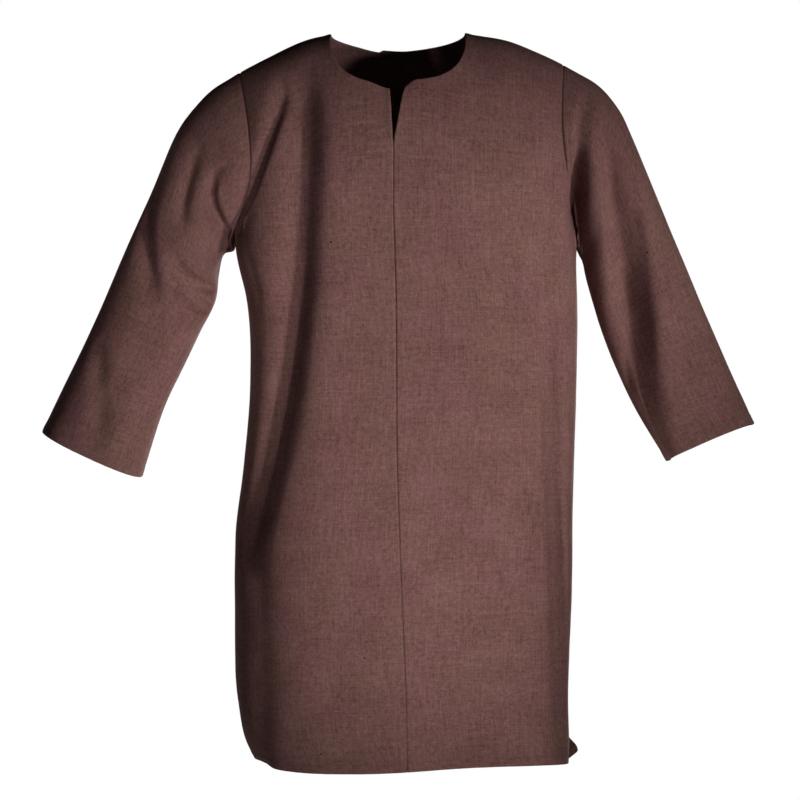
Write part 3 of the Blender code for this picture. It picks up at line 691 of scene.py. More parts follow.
def turnedRelief(distance, place, deep, seed):
    # an edge turned under and topstitched: a slightly raised band, a stitch line in it and small gathers
    timesTall, vary = cloth["edgeGathers"]
    gathers = timesTall * cloth["pucker"][0] * gathered("edge", place, distance * vary, seed)
    high, step = cloth["turnedBand"]
    band = -high * ramp((deep + step - distance) / step)
    dent, inside, wide = cloth["stitchDent"]
    stitched = dent * bell(distance - deep + inside, wide)
    roundDepth, roundWidth = cloth["edgeRound"]
    edgeRound = roundDepth * bell(distance, roundWidth)
    return band + stitched + edgeRound + gathers * bell(distance - deep / 2, deep)


def sharedNormals(grids, wraps):
    # each grid's normals, alike where grids share points
    own = [gridNormals(points, wrap) for points, wrap in zip(grids, wraps)]
    flat = np.concatenate([np.nan_to_num(points, nan=9.0).reshape(-1, 3) for points in grids])
    normals = np.concatenate([normal.reshape(-1, 3) for normal in own])
    _, group = np.unique(np.round(flat * 1e6).astype(np.int64), axis=0, return_inverse=True)
    total = np.zeros((group.max() + 1, 3))
    np.add.at(total, group.ravel(), normals)
    shared = unit(total[group.ravel()])
    ends = np.cumsum([points[..., 0].size for points in grids])[:-1]
    return [part.reshape(normal.shape) for part, normal in zip(np.split(shared, ends), own)]


def clothObject(name, outer, thick, uv, material, wrap=False):
    # a closed wall of cloth inside the given outer surface, and that surface's normals
    normals = gridNormals(outer, wrap)
    there = ~np.isnan(outer[..., 0])
    number = np.full(there.shape, -1)
    number[there] = np.arange(there.sum())
    if wrap:
        number = np.concatenate([number, number[:, :1]], axis=1)
        uv = np.concatenate([uv, uv[:, :1] + np.array([2 * math.pi * sleeves["radius"], 0])], axis=1)
    corners = np.stack([number[:-1, :-1], number[:-1, 1:], number[1:, 1:], number[1:, :-1]], axis=-1)
    cornerUv = np.stack([uv[:-1, :-1], uv[:-1, 1:], uv[1:, 1:], uv[1:, :-1]], axis=-2)
    whole = (corners >= 0).all(axis=-1)
    quads, quadUv = corners[whole], cornerUv[whole]
    points = outer[there]
    inner = points - normals[there] * np.broadcast_to(thick, there.shape)[there][:, None]
    count = len(points)

    # border edges, each once, with the cloth to its left
    ends = np.concatenate([quads[:, [k, (k + 1) % 4]] for k in range(4)])
    endUv = np.concatenate([quadUv[:, [k, (k + 1) % 4]] for k in range(4)])
    code = ends[:, 0] * count + ends[:, 1]
    border = ~np.isin(ends[:, 1] * count + ends[:, 0], code)
    ends, endUv = ends[border], endUv[border]
    edgeVertices = np.unique(ends)
    outward = np.zeros((count, 3))
    across = unit(np.cross(points[ends[:, 1]] - points[ends[:, 0]], normals[there][ends[:, 0]]))
    np.add.at(outward, ends[:, 0], across)
    np.add.at(outward, ends[:, 1], across)
    bulge = np.linalg.norm(points - inner, axis=1)[:, None] * cloth["rimBulge"]
    middle = (points + inner) / 2 + unit(outward) * bulge
    middleNumber = np.full(count, -1)
    middleNumber[edgeVertices] = 2 * count + np.arange(len(edgeVertices))
    a, b = ends[:, 0], ends[:, 1]
    rimOuter = np.stack([b, a, middleNumber[a], middleNumber[b]], axis=-1)
    rimInner = np.stack([middleNumber[b], middleNumber[a], count + a, count + b], axis=-1)
    rimUv = np.stack([endUv[:, 1], endUv[:, 0], endUv[:, 0], endUv[:, 1]], axis=1)
    faces = np.concatenate([quads, count + quads[:, ::-1], rimOuter, rimInner])
    faceUv = np.concatenate([quadUv, quadUv[:, ::-1], rimUv, rimUv])
    vertices = np.concatenate([points, inner, middle[edgeVertices]])

    mesh = bpy.data.meshes.new(name)
    mesh.vertices.add(len(vertices))
    mesh.vertices.foreach_set("co", vertices.astype(np.float32).ravel())
    mesh.loops.add(faces.size)
    mesh.loops.foreach_set("vertex_index", faces.astype(np.int32).ravel())
    mesh.polygons.add(len(faces))
    mesh.polygons.foreach_set("loop_start", np.arange(0, faces.size, 4, dtype=np.int32))
    mesh.update(calc_edges=True)
    layer = mesh.uv_layers.new(name="cloth")
    layer.uv.foreach_set("vector", faceUv.astype(np.float32).ravel())
    mesh.shade_smooth()
    mesh.validate()
    mesh.materials.append(material)
    return placed(name, mesh), normals


# The linen. A noise has scales along u and v, detail, roughness and shift
linen = {
    "dark": (0.075, 0.030, 0.028),
    "mid": (0.170, 0.0825, 0.0755),
    "light": (0.262, 0.145, 0.131),
    # painted shade: the facing inside the neck is the same linen, painted this much darker
    "facingPaintedShade": 0.92,
    "roughness": 0.93,
    "specular": 0.06,
    "sheen": (0.015, 0.6),                  # weight and roughness
    "pitch": 0.00095,                       # one thread of the weave
    "wobble": 1.6,                          # how far uneven threads push the weave aside
    "noises": {
        "warp": (620, 26, 3, 0.65, 0.0),    # long thin streaks along the threads
        "weft": (30, 640, 3, 0.65, 3.1),
        "warpSlub": (300, 14, 2, 0.5, 7.7),
        "weftSlub": (16, 320, 2, 0.5, 11.3),
        "grain": (900, 900, 2, 0.6, 5.5),
        "mottle": (210, 170, 3, 0.6, 29.0),
        "patches": (26, 19, 4, 0.55, 17.0),
        "broad": (17, 13, 3, 0.5, 23.0),
    },
    "threadShares": (0.58, 0.42),           # of the warp and the weft
    # middle value and strength of each layer of the tone
    "layers": {
        "threads": (0.5, 1.15),
        "grain": (0.5, 1.0),
        "slubs": (0.56, 0.3),
        "patches": (0.5, 0.45),
        "mottle": (0.5, 0.75),
        "weave": (0.62, 0.16),
    },
    # broad drift between a mauve and an olive brown
    "drift": ((0.38, (1.0, 0.968, 0.995)), (0.62, (0.99, 1.012, 0.945))),
    # a few dark flecks of husk in the thread
    "fleckScale": (52, 38, 1),
    "fleckSize": (0.045, 0.022),            # range and least
    "fleckRarity": 0.9,
    "fleckStrength": 0.75,
    "fleckColour": (0.018, 0.010, 0.008),
    "relief": {"weave": 0.55, "threads": 0.8, "slubs": 0.7},
    "bump": (0.45, 0.0004),                 # strength and distance
}


def newMaterial(name, roughness, specular=0.5):
    material = bpy.data.materials.new(name)
    material.use_nodes = True
    shader = material.node_tree.nodes["Principled BSDF"]
    shader.inputs["Roughness"].default_value = roughness
    shader.inputs["Specular IOR Level"].default_value = specular
    return material, material.node_tree.nodes, material.node_tree.links, shader


def colourRamp(nodes, stops):
    made = nodes.new("ShaderNodeValToRGB")
    elements = made.color_ramp.elements
    elements[0].position, elements[1].position = stops[0][0], stops[-1][0]
    elements[0].color, elements[1].color = (*stops[0][1], 1), (*stops[-1][1], 1)
    for place, colour in stops[1:-1]:
        elements.new(place).color = (*colour, 1)
    return made


def linenMaterial(name, paintedShade=1.0):
    material, nodes, links, shader = newMaterial(name, linen["roughness"], linen["specular"])
    for socket, value in zip(("Sheen Weight", "Sheen Roughness"), linen["sheen"]):
        shader.inputs[socket].default_value = value

    def maths(operation, a, b=None, c=None):
        made = nodes.new("ShaderNodeMath")
        made.operation = operation
        for socket, value in zip(made.inputs, (a, b, c)):
            if value is None:
                continue
            if isinstance(value, (int, float)):
                socket.default_value = value
            else:
                links.new(value, socket)
        return made.outputs[0]

    uv = nodes.new("ShaderNodeUVMap")
    uv.uv_map = "cloth"

    def stretchedNoise(scaleU, scaleV, detail, rough, shift):
        mapping = nodes.new("ShaderNodeMapping")
        mapping.inputs["Scale"].default_value = (scaleU, scaleV, 1)
        mapping.inputs["Location"].default_value = (shift, shift * 1.7, shift)
        links.new(uv.outputs[0], mapping.inputs["Vector"])
        noise = nodes.new("ShaderNodeTexNoise")
        noise.inputs["Scale"].default_value = 1.0
        noise.inputs["Detail"].default_value = detail
        noise.inputs["Roughness"].default_value = rough
        links.new(mapping.outputs[0], noise.inputs["Vector"])
        return noise.outputs["Fac"]

    layer = {title: stretchedNoise(*settings) for title, settings in linen["noises"].items()}

    separate = nodes.new("ShaderNodeSeparateXYZ")
    links.new(uv.outputs[0], separate.inputs[0])
    sines = []
    for k, slub in enumerate(("warpSlub", "weftSlub")):
        along = maths("MULTIPLY", separate.outputs[k], math.pi / linen["pitch"])
        sines.append(maths("SINE", maths("MULTIPLY_ADD", layer[slub], linen["wobble"], along)))
    over = maths("MULTIPLY_ADD", maths("SIGN", maths("MULTIPLY", *sines)), 0.5, 0.5)
    layer["weave"] = maths("ADD", maths("MULTIPLY", over, maths("ABSOLUTE", sines[0])),
                           maths("MULTIPLY", maths("SUBTRACT", 1.0, over), maths("ABSOLUTE", sines[1])))
    warpShare, weftShare = linen["threadShares"]
    layer["threads"] = maths("ADD", maths("MULTIPLY", layer["warp"], warpShare),
                             maths("MULTIPLY", layer["weft"], weftShare))
    layer["slubs"] = maths("MAXIMUM", layer["warpSlub"], layer["weftSlub"])

    tone = 0.5
    for title, (middle, strength) in linen["layers"].items():
        tone = maths("MULTIPLY_ADD", maths("SUBTRACT", layer[title], middle), strength, tone)
    # the colours are darkened by the painted shade, which is 1 for the outer cloth
    stops = [(place, [paintedShade * c for c in linen[title]])
             for place, title in ((0.0, "dark"), (0.5, "mid"), (1.0, "light"))]
    colours = colourRamp(nodes, stops)
    links.new(tone, colours.inputs[0])
    tint = colourRamp(nodes, linen["drift"])
    links.new(layer["broad"], tint.inputs[0])
    drift = nodes.new("ShaderNodeMix")
    drift.data_type = "RGBA"
    drift.blend_type = "MULTIPLY"
    drift.inputs["Factor"].default_value = 1.0
    links.new(colours.outputs[0], drift.inputs["A"])
    links.new(tint.outputs[0], drift.inputs["B"])

    cellsMap = nodes.new("ShaderNodeMapping")
    cellsMap.inputs["Scale"].default_value = linen["fleckScale"]
    links.new(uv.outputs[0], cellsMap.inputs["Vector"])
    flecks = nodes.new("ShaderNodeTexVoronoi")
    flecks.inputs["Scale"].default_value = 1.0
    flecks.inputs["Randomness"].default_value = 1.0
    links.new(cellsMap.outputs[0], flecks.inputs["Vector"])
    picked = nodes.new("ShaderNodeSeparateColor")
    links.new(flecks.outputs["Color"], picked.inputs[0])
    size = maths("MULTIPLY_ADD", picked.outputs["Green"], *linen["fleckSize"])
    spot = maths("LESS_THAN", flecks.outputs["Distance"], size)
    chosen = maths("GREATER_THAN", picked.outputs["Red"], linen["fleckRarity"])
    fleck = maths("MULTIPLY", maths("MULTIPLY", spot, chosen), linen["fleckStrength"])
    speckled = nodes.new("ShaderNodeMix")
    speckled.data_type = "RGBA"
    links.new(fleck, speckled.inputs["Factor"])
    links.new(drift.outputs["Result"], speckled.inputs["A"])
    speckled.inputs["B"].default_value = (*linen["fleckColour"], 1)
    links.new(speckled.outputs["Result"], shader.inputs["Base Color"])

    weave, threads, slubs = (maths("MULTIPLY", layer[title], share)
                             for title, share in linen["relief"].items())
    bump = nodes.new("ShaderNodeBump")
    bump.inputs["Strength"].default_value, bump.inputs["Distance"].default_value = linen["bump"]
    links.new(maths("ADD", weave, maths("ADD", threads, slubs)), bump.inputs["Height"])
    links.new(bump.outputs[0], shader.inputs["Normal"])
    return material


clothLinen = linenMaterial("coarseLinen")
# a copy of the linen painted darker, as painted shade for the facing inside the neck
paintedShadeFacingLinen = linenMaterial("paintedShadeFacingLinen", linen["facingPaintedShade"])
print("linen made")


# Creases pressed into the cloth that faces the front: a line of x and z, the depth at each of its points, and
# the widths to the left and to the right of its course
frontCreases = {
    "fullFacing": 0.7,                      # cloth turned this far to the front takes the whole depth
    "smoothing": 8,                         # short steps between two points of a line
    "lines": {
        "rightOuterBand": {
            "line": ((-0.3299, -0.1743), (-0.3422, -0.2152), (-0.3490, -0.2561),
                     (-0.3476, -0.2969), (-0.3408, -0.3378), (-0.3326, -0.3719)),
            "depths": (0.0, 0.007, 0.013, 0.014, 0.010, 0.0), "widths": (0.010, 0.016)},
        "rightUpperTube": {
            "line": ((-0.2754, -0.1552), (-0.2849, -0.1852), (-0.2931, -0.2152),
                     (-0.2986, -0.2479), (-0.2958, -0.2751)),
            "depths": (0.001, 0.007, 0.0095, 0.0075, 0.0), "widths": (0.009, 0.009)},
        "rightElbowUpper": {
            "line": ((-0.3136, -0.2969), (-0.3027, -0.3228), (-0.2809, -0.3419), (-0.2563, -0.3474)),
            "depths": (0.0, 0.010, 0.019, 0.024), "widths": (0.009, 0.012)},
        "rightElbowLower": {
            "line": ((-0.3163, -0.3188), (-0.3013, -0.3460), (-0.2822, -0.3651), (-0.2659, -0.3774)),
            "depths": (0.0, 0.009, 0.017, 0.021), "widths": (0.009, 0.012)},
        "rightHook": {
            "line": ((-0.2400, -0.1961), (-0.2509, -0.2029), (-0.2563, -0.2165),
                     (-0.2550, -0.2343), (-0.2481, -0.2520), (-0.2372, -0.2724)),
            "depths": (0.0, 0.004, 0.010, 0.015, 0.017, 0.016), "widths": (0.0045, 0.011)},
        "rightHookTop": {
            "line": ((-0.2577, -0.2124), (-0.2536, -0.1947), (-0.2400, -0.1852), (-0.2250, -0.1920)),
            "depths": (0.002, 0.003, 0.003, 0.0), "widths": (0.005, 0.004)},
        "rightArmpit": {
            "line": ((-0.2168, -0.2452), (-0.2263, -0.2697), (-0.2372, -0.2888), (-0.2495, -0.3051)),
            "depths": (0.004, 0.018, 0.026, 0.016), "widths": (0.012, 0.013)},
        "rightLowOuter": {
            "line": ((-0.3981, -0.4264), (-0.4103, -0.4619), (-0.4172, -0.4932)),
            "depths": (0.0, 0.0028, 0.0), "widths": (0.012, 0.012)},
        "rightLowInner": {
            "line": ((-0.3436, -0.4905), (-0.3572, -0.5287), (-0.3667, -0.5668)),
            "depths": (0.0, 0.0032, 0.0025), "widths": (0.012, 0.014)},
        "leftValley": {
            "line": ((0.2780, -0.1552), (0.2862, -0.2015), (0.2957, -0.2492), (0.3039, -0.2969),
                     (0.3093, -0.3447), (0.3148, -0.3924), (0.3216, -0.4401), (0.3297, -0.4878),
                     (0.3400, -0.5355), (0.3480, -0.5764)),
            "depths": (0.0, 0.004, 0.009, 0.014, 0.018, 0.021, 0.022, 0.018, 0.012, 0.006),
            "widths": (0.022, 0.015)},
        "leftArmpit": {
            "line": ((0.2534, -0.0761), (0.2425, -0.1089), (0.2385, -0.1443), (0.2357, -0.1811),
                     (0.2344, -0.2288), (0.2371, -0.2806), (0.2439, -0.3133)),
            "depths": (0.0, 0.004, 0.010, 0.028, 0.042, 0.030, 0.006), "widths": (0.014, 0.006)},
        "leftEdge": {
            "line": ((0.1953, -0.3378), (0.1962, -0.4469), (0.2003, -0.5423), (0.2071, -0.6241),
                     (0.2112, -0.7195), (0.2140, -0.8285), (0.2153, -0.9103)),
            "depths": (0.0, 0.005, 0.009, 0.010, 0.010, 0.008, 0.004), "widths": (0.012, 0.010)},
    },
}


def pressed(points, normals):
    # the cloth moves back along Y beside each line
    x, z = points[..., 0], points[..., 2]
    total = np.zeros_like(x)
    for crease in frontCreases["lines"].values():
        line = np.array(crease["line"], float)
        along = alongLine(line)
        fine = np.linspace(0, along[-1], frontCreases["smoothing"] * (len(line) - 1) + 1)
        lineX, lineZ = (readTable({"along": along, "at": line[:, k]}, "along", "at", fine) for k in range(2))
        level = np.interp(fine, along, crease["depths"])
        best = np.full(x.shape, 1e9)
        side, deep = np.zeros_like(x), np.zeros_like(x)
        for i in range(len(fine) - 1):
            dx, dz = lineX[i + 1] - lineX[i], lineZ[i + 1] - lineZ[i]
            share = ((x - lineX[i]) * dx + (z - lineZ[i]) * dz) / (dx * dx + dz * dz)
            share = np.clip(share, 0, 1)
            gapX, gapZ = x - lineX[i] - share * dx, z - lineZ[i] - share * dz
            gap = np.hypot(gapX, gapZ)
            nearer = gap < best
            best = np.where(nearer, gap, best)
            side = np.where(nearer, dx * gapZ - dz * gapX, side)
            deep = np.where(nearer, mix(level[i], level[i + 1], share), deep)
        first, second = crease["widths"]
        total += deep * bell(best, np.where(side > 0, first, second))
    moved = points.copy()
    moved[..., 1] += total * ramp(-normals[..., 1] / frontCreases["fullFacing"])
    return moved


# Where the neckline is pulled off its curve: x, z, widths towards lower and higher x, height, and how far up
neckTugs = {
    "front": ((-0.0165, -0.0750, 0.020, 0.004, 0.020, -0.0080),
              (0.0040, -0.0705, 0.004, 0.0085, 0.020, -0.0090)),
    "back": ((-0.0310, -0.0100, 0.030, 0.0022, 0.018, -0.0034),
             (0.0200, -0.0100, 0.050, 0.050, 0.018, 0.0006)),
}


def tugged(points, face):
    moved = points.copy()
    for x, z, lower, higher, height, pull in neckTugs[face]:
        apart = points[..., 0] - x
        beside = bell(apart, np.where(apart < 0, lower, higher))
        moved[..., 2] += pull * beside * bell(points[..., 2] - z, height)
    return moved


def panelUv(places):
    # metres across and along the cloth
    height = places[..., 1]
    v = np.where(height > 1, tunicBody["rollZ"] + (height - 1) * tunicBody["rollLength"],
                 mix(tunicBody["hemZ"], tunicBody["rollZ"], height))
    u = np.radians(places[..., 0]) * tunicBody["girthRadius"]
    return np.stack([u, v], axis=-1)


# half panels, with their columns out from the centre
halves = {}
for name in ("right", "left"):
    for face in ("front", "back"):
        places, marks = panelPlaces(name, face)
        halves[name, face] = (tugged(bodyPoint(places), face), panelUv(places), marks)

# every sheet's grid, seen from outside with its rows going up and its columns to the right
grids = {}
for name in ("right", "left"):
    points, uv, _ = halves[name, "front"]
    grids["front_" + name] = (points[:, ::-1], uv[:, ::-1]) if name == "right" else (points, uv)
leftPoints, leftUv, _ = halves["left", "back"]
rightPoints, rightUv, _ = halves["right", "back"]
rightUv = rightUv + np.array([2 * math.pi * tunicBody["girthRadius"], 0])
backMiddle = leftPoints.shape[1] - 1
grids["back"] = tuple(np.concatenate([a[:, :0:-1], b], axis=1)
                      for a, b in ((leftPoints, rightPoints), (leftUv, rightUv)))
for name in ("right", "left"):
    frontPoints, _, marks = halves[name, "front"]
    backPoints = halves[name, "back"][0]
    frontSeam, backSeam = frontPoints[marks["under"]:, -1], backPoints[marks["under"]:, -1]
    loop = np.concatenate([frontSeam[::-1], backSeam[1:-1]])
    rings, turns, along = sleeveRings(name, loop, 1 - armholeShares("front")[::-1])
    drop = np.broadcast_to(along[:, None] * sleeves["sectionLength"], turns.shape)
    uv = np.stack([np.radians(turns) * sleeves["radius"], -drop], -1)
    rings, uv = rings[::-1], uv[::-1]
    if name == "left":
        order = np.concatenate([[0], np.arange(rings.shape[1] - 1, 0, -1)])
        rings, uv = rings[:, order], uv[:, order] * np.array([-1, 1])
    grids["sleeve_" + name] = (rings, uv)
nodes = list(grids)
wraps = [node.startswith("sleeve") for node in nodes]
print("surfaces made")

shared = sharedNormals([grids[node][0] for node in nodes], wraps)
forms = [pressed(grids[node][0], normals) for node, normals in zip(nodes, shared)]
shared = sharedNormals(forms, wraps)
print("creases pressed")


def halfLines(points, marks, face):
    # the border lines of a half panel whose columns run out from the centre
    top = len(points) - 1
    split, neck, under = marks["split"], marks["neck"], marks["under"]
    lines = {
        "hem": points[0],
        "side": points[: under + 1, -1],
        "armhole": points[under:, -1],
        "shoulder": points[top, split:],
        "neck": np.concatenate([points[neck, : split + 1], points[neck + 1:, split]]),
    }
    if face == "front":
        centre = points[: neck + 1, 0]
        above, below = cut["slitOverlap"]
        lines["centre"] = centre[centre[:, 2] <= cut["slitTipZ"] + above]
        lines["slit"] = centre[centre[:, 2] >= cut["slitTipZ"] - below]
    return lines


def outward(name, face):
    # the columns of a piece's grid that are one half of it, from the centre out
    if face == "back":
        return slice(backMiddle, None, -1) if name == "left" else slice(backMiddle, None)
    return slice(None, None, -1) if name == "right" else slice(None)


def halfRelief(points, name, face, seed):
    # how far each point lies in from the plain surface, and the cloth's thickness there
    points = points[:, outward(name, face)]
    relief = np.zeros(points.shape[:-1])
    thick = np.full(points.shape[:-1], cloth["thick"])
    for line, spots in halfLines(points, halves[name, face][2], face).items():
        distance, place = distanceTo(points, spots)
        seed += 3
        if line in ("hem", "neck", "slit"):
            deep = cloth["hemDeep"] if line == "hem" else cloth["neckDeep"]
            relief += turnedRelief(distance, place, deep, seed)
            thick = np.where(distance < deep, cloth["hemThick"], thick)
        else:
            relief += seamRelief(distance, place, seed)
    return relief, thick


def sleeveRelief(rings, seed):
    cuff, head = (np.concatenate([ring, ring[:1]]) for ring in (rings[0], rings[-1]))
    distance, place = distanceTo(rings, cuff)
    relief = turnedRelief(distance, place, cloth["hemDeep"], seed)
    thick = np.where(distance < cloth["hemDeep"], cloth["hemThick"], cloth["thick"])
    distance, place = distanceTo(rings, head)
    relief += seamRelief(distance, place, seed + 3)
    tall, long, reach = cloth["pucker"]
    timesTall, timesLong, middle, blend = cloth["headGathers"]
    gathers = softNoise(place, 0 * place, long * timesLong, seed + 5)
    relief += timesTall * tall * gathers * (bell(distance - middle, reach) * ramp(distance / blend))
    distance, place = distanceTo(rings, rings[:, rings.shape[1] // 2])
    return relief + cloth["underarmShare"] * seamRelief(distance, place, seed + 7), thick


titles = {
    "front_right": "frontPanel.right",
    "front_left": "frontPanel.left",
    "back": "backPanel",
    "sleeve_right": "sleeve.right",
    "sleeve_left": "sleeve.left",
}
pieces, outers, seeds = {}, {}, cloth["seeds"]
for node, points, normals, wrap in zip(nodes, forms, shared, wraps):
    if wrap:
        relief, thick = sleeveRelief(points, seeds["sleeve"])
    elif node == "back":
        left = halfRelief(points, "left", "back", seeds["backLeft"])
        right = halfRelief(points, "right", "back", seeds["backRight"])
        relief, thick = (np.concatenate([a[:, :0:-1], b], axis=1) for a, b in zip(left, right))
    else:
        name = node.split("_")[1]
        half = halfRelief(points, name, "front", seeds["front"])
        relief, thick = (a[:, outward(name, "front")] for a in half)
    outer = points - normals * relief[..., None]
    pieces[node], outerNormals = clothObject(titles[node], outer, thick, grids[node][1], clothLinen, wrap)
    outers[node] = (outer, outerNormals)
print("panels and sleeves made")


def halfOuter(name, face):
    # outer points, normals and marks of a half panel, with its columns out from the centre
    outer, normals = outers["front_" + name if face == "front" else "back"]
    picked = outward(name, face)
    return outer[:, picked], normals[:, picked], halves[name, face][2]


# Stitches along the hem, the cuffs and the neck
stitches = {
    "long": 0.0026,
    "pitch": 0.0036,
    "wide": 0.00052,
    "high": 0.00030,
    "hemIn": 0.0124,                        # distance from the edge
    "neckIn": 0.0052,
    "tipClearance": 0.002,                  # the slit's stitches begin this far above its tip
    # share of the length and share of the width where the stitch swells and narrows
    "profile": ((-0.42, 0.75), (-0.2, 1.0), (0.2, 1.0), (0.42, 0.75)),
    "sides": 6,
    "tipDip": 0.00005,
    "shift": 0.00025,                       # how unevenly they are spaced and turned
    "skew": 0.05,
    "seed": 5,
    "roughness": 0.85,
    "specular": 0.25,
    "noiseScale": 900,
    "colours": ((0.0, (0.085, 0.040, 0.036)), (1.0, (0.170, 0.086, 0.076))),
}


def lineAt(chains, chainNormals, distance):
    # the point and normal at a distance from the border, on each chain of points that starts there
    points, normals, enough = [], [], 40
    for chain, normal in zip(chains, chainNormals):
        good = ~np.isnan(chain[:, 0])
        chain, normal = chain[good][:enough], normal[good][:enough]
        lengths = alongLine(chain)
        points.append([np.interp(distance, lengths, chain[:, k]) for k in range(3)])
        normals.append([np.interp(distance, lengths, normal[:, k]) for k in range(3)])
    return np.array(points), unit(np.array(normals))


def stitchObject(name, runs, material):
    # each stitch is a small flattened capsule that lies along its line
    long, wide, high, sides = (stitches[key] for key in ("long", "wide", "high", "sides"))
    turns = np.linspace(0, 2 * math.pi, sides + 1)[:-1]
    swells = stitches["profile"]
    template = [(share * long, math.cos(turn) * swell * wide / 2, math.sin(turn) * swell * high)
                for share, swell in swells for turn in turns]
    template += [(share * long, 0, -stitches["tipDip"]) for share in (-0.5, 0.5)]
    template = np.array(template)
    lastRing = (len(swells) - 1) * sides
    firstTip, lastTip = len(template) - 2, len(template) - 1
    faces = []
    for start in range(0, lastRing, sides):
        for i in range(sides):
            k = (i + 1) % sides
            faces.append((start + i, start + k, start + sides + k, start + sides + i))
    for i in range(sides):
        k = (i + 1) % sides
        faces.append((firstTip, k, i))
        faces.append((lastTip, lastRing + i, lastRing + k))
    vertices, allFaces = [], []
    random, shift, pitch = np.random.default_rng(stitches["seed"]), stitches["shift"], stitches["pitch"]
    aheadStep = 0.001
    for points, normals in runs:
        along = alongLine(points)
        for at in np.arange(pitch, along[-1] - pitch / 2, pitch):
            at = at + random.uniform(-shift, shift)
            spot = np.array([np.interp(at, along, points[:, k]) for k in range(3)])
            ahead = np.array([np.interp(at + aheadStep, along, points[:, k]) for k in range(3)])
            up = unit(np.array([np.interp(at, along, normals[:, k]) for k in range(3)]))
            forward = unit(unit(ahead - spot) + random.normal(0, stitches["skew"], 3))
            side = unit(np.cross(up, forward))
            up = np.cross(forward, side)
            base = len(vertices) * len(template)
            vertices.append(spot + template[:, :1] * forward + template[:, 1:2] * side + template[:, 2:] * up)
            allFaces += [tuple(base + v for v in face) for face in faces]
    mesh = bpy.data.meshes.new(name)
    mesh.from_pydata(np.concatenate(vertices).tolist(), [], allFaces)
    mesh.shade_smooth()
    mesh.materials.append(material)
    return placed(name, mesh)


def threadMaterial(name):
    material, nodes, links, shader = newMaterial(name, stitches["roughness"], stitches["specular"])
    noise = nodes.new("ShaderNodeTexNoise")
    noise.inputs["Scale"].default_value = stitches["noiseScale"]
    colours = colourRamp(nodes, stitches["colours"])
    coordinates = nodes.new("ShaderNodeTexCoord")
    links.new(coordinates.outputs["Object"], noise.inputs["Vector"])
    links.new(noise.outputs["Fac"], colours.inputs[0])
    links.new(colours.outputs[0], shader.inputs["Base Color"])
    return material


linenThread = threadMaterial("linenThread")
hemRuns, neckRuns = [], []
for name in ("right", "left"):
    for face in ("front", "back"):
        outer, normals, marks = halfOuter(name, face)
        split, neck = marks["split"], marks["neck"]
        hemRuns.append(lineAt(outer.transpose(1, 0, 2), normals.transpose(1, 0, 2), stitches["hemIn"]))
        bottomChains = outer[neck::-1, : split + 1].transpose(1, 0, 2)
        bottomNormals = normals[neck::-1, : split + 1].transpose(1, 0, 2)
        sideChains, sideNormals = outer[neck + 1:, split:], normals[neck + 1:, split:]
        bottom = lineAt(bottomChains, bottomNormals, stitches["neckIn"])
        side = lineAt(sideChains, sideNormals, stitches["neckIn"])
        points = np.concatenate([bottom[0][:-1], side[0]])
        keep = np.ones(len(points), bool)
        if face == "front":
            z = outer[: neck + 1, 0, 2]
            tip = cut["slitTipZ"] + stitches["tipClearance"]
            rows = np.where((z >= tip) & (z <= z.max() - stitches["neckIn"]))[0]
            slit = lineAt(outer[rows], normals[rows], stitches["neckIn"])
            neckRuns.append(slit)
            keep = alongLine(points) > stitches["neckIn"]
        neckRuns.append((points[keep], np.concatenate([bottom[1][:-1], side[1]])[keep]))
hemStitches = stitchObject("hemStitches", hemRuns, linenThread)
neckStitches = stitchObject("neckStitches", neckRuns, linenThread)
cuffStitches = {}
for name in ("right", "left"):
    outer, normals = outers["sleeve_" + name]
    closed = np.concatenate([outer, outer[:, :1]], axis=1)
    closedNormals = np.concatenate([normals, normals[:, :1]], axis=1)
    run = lineAt(closed.transpose(1, 0, 2), closedNormals.transpose(1, 0, 2), stitches["hemIn"])
    cuffStitches[name] = stitchObject("cuffStitches." + name, [run], linenThread)
print("stitches made")


# The facing inside the back of the neck
facing = {
    "steps": (0.0002, 0.0008, 0.0020, 0.0040, 0.0065, 0.0090, 0.0115, 0.0135, 0.0148, 0.0155),
    "off": 0.0012,                          # least distance from the panel's outer surface
    "gap": 0.0002,
    "sag": (0.0006, 0.009, 0.0065),         # how far its free edge stands off, from where and over what
}


def backNeckChains(name):
    outer, normals, marks = halfOuter(name, "back")
    split, neck = marks["split"], marks["neck"]
    chains = [(outer[neck::-1, i], normals[neck::-1, i]) for i in range(split)]
    chains += [(outer[j, split:], normals[j, split:]) for j in range(neck + 1, len(outer))]
    return chains


chains = backNeckChains("right")[:0:-1] + backNeckChains("left")
rows = []
sagDepth, sagStart, sagReach = facing["sag"]
for distance in facing["steps"]:
    points, normals = lineAt([c[0] for c in chains], [c[1] for c in chains], distance)
    lift = cloth["hemThick"] if distance < cloth["neckDeep"] else cloth["thick"]
    sag = sagDepth * ramp((distance - sagStart) / sagReach)
    rows.append(points - normals * (max(lift, facing["off"]) + facing["gap"] + sag))
facingGrid = np.array(rows)[::-1][:, ::-1]
run = alongLine(facingGrid[0])
facingUv = np.stack([np.broadcast_to(run, facingGrid.shape[:2]),
                     np.broadcast_to(np.array(facing["steps"])[::-1, None], facingGrid.shape[:2])], axis=-1)
pieces["neck_facing"], _ = clothObject("neckFacing", facingGrid, cloth["thick"], facingUv, paintedShadeFacingLinen)
print("facing made")


# Each piece and the stitches hang from the root, and the solids that the pieces replace are hidden
for node, piece in pieces.items():
    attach(piece, "root")
    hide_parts(node)
for piece in (hemStitches, neckStitches, *cuffStitches.values()):
    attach(piece, "root")


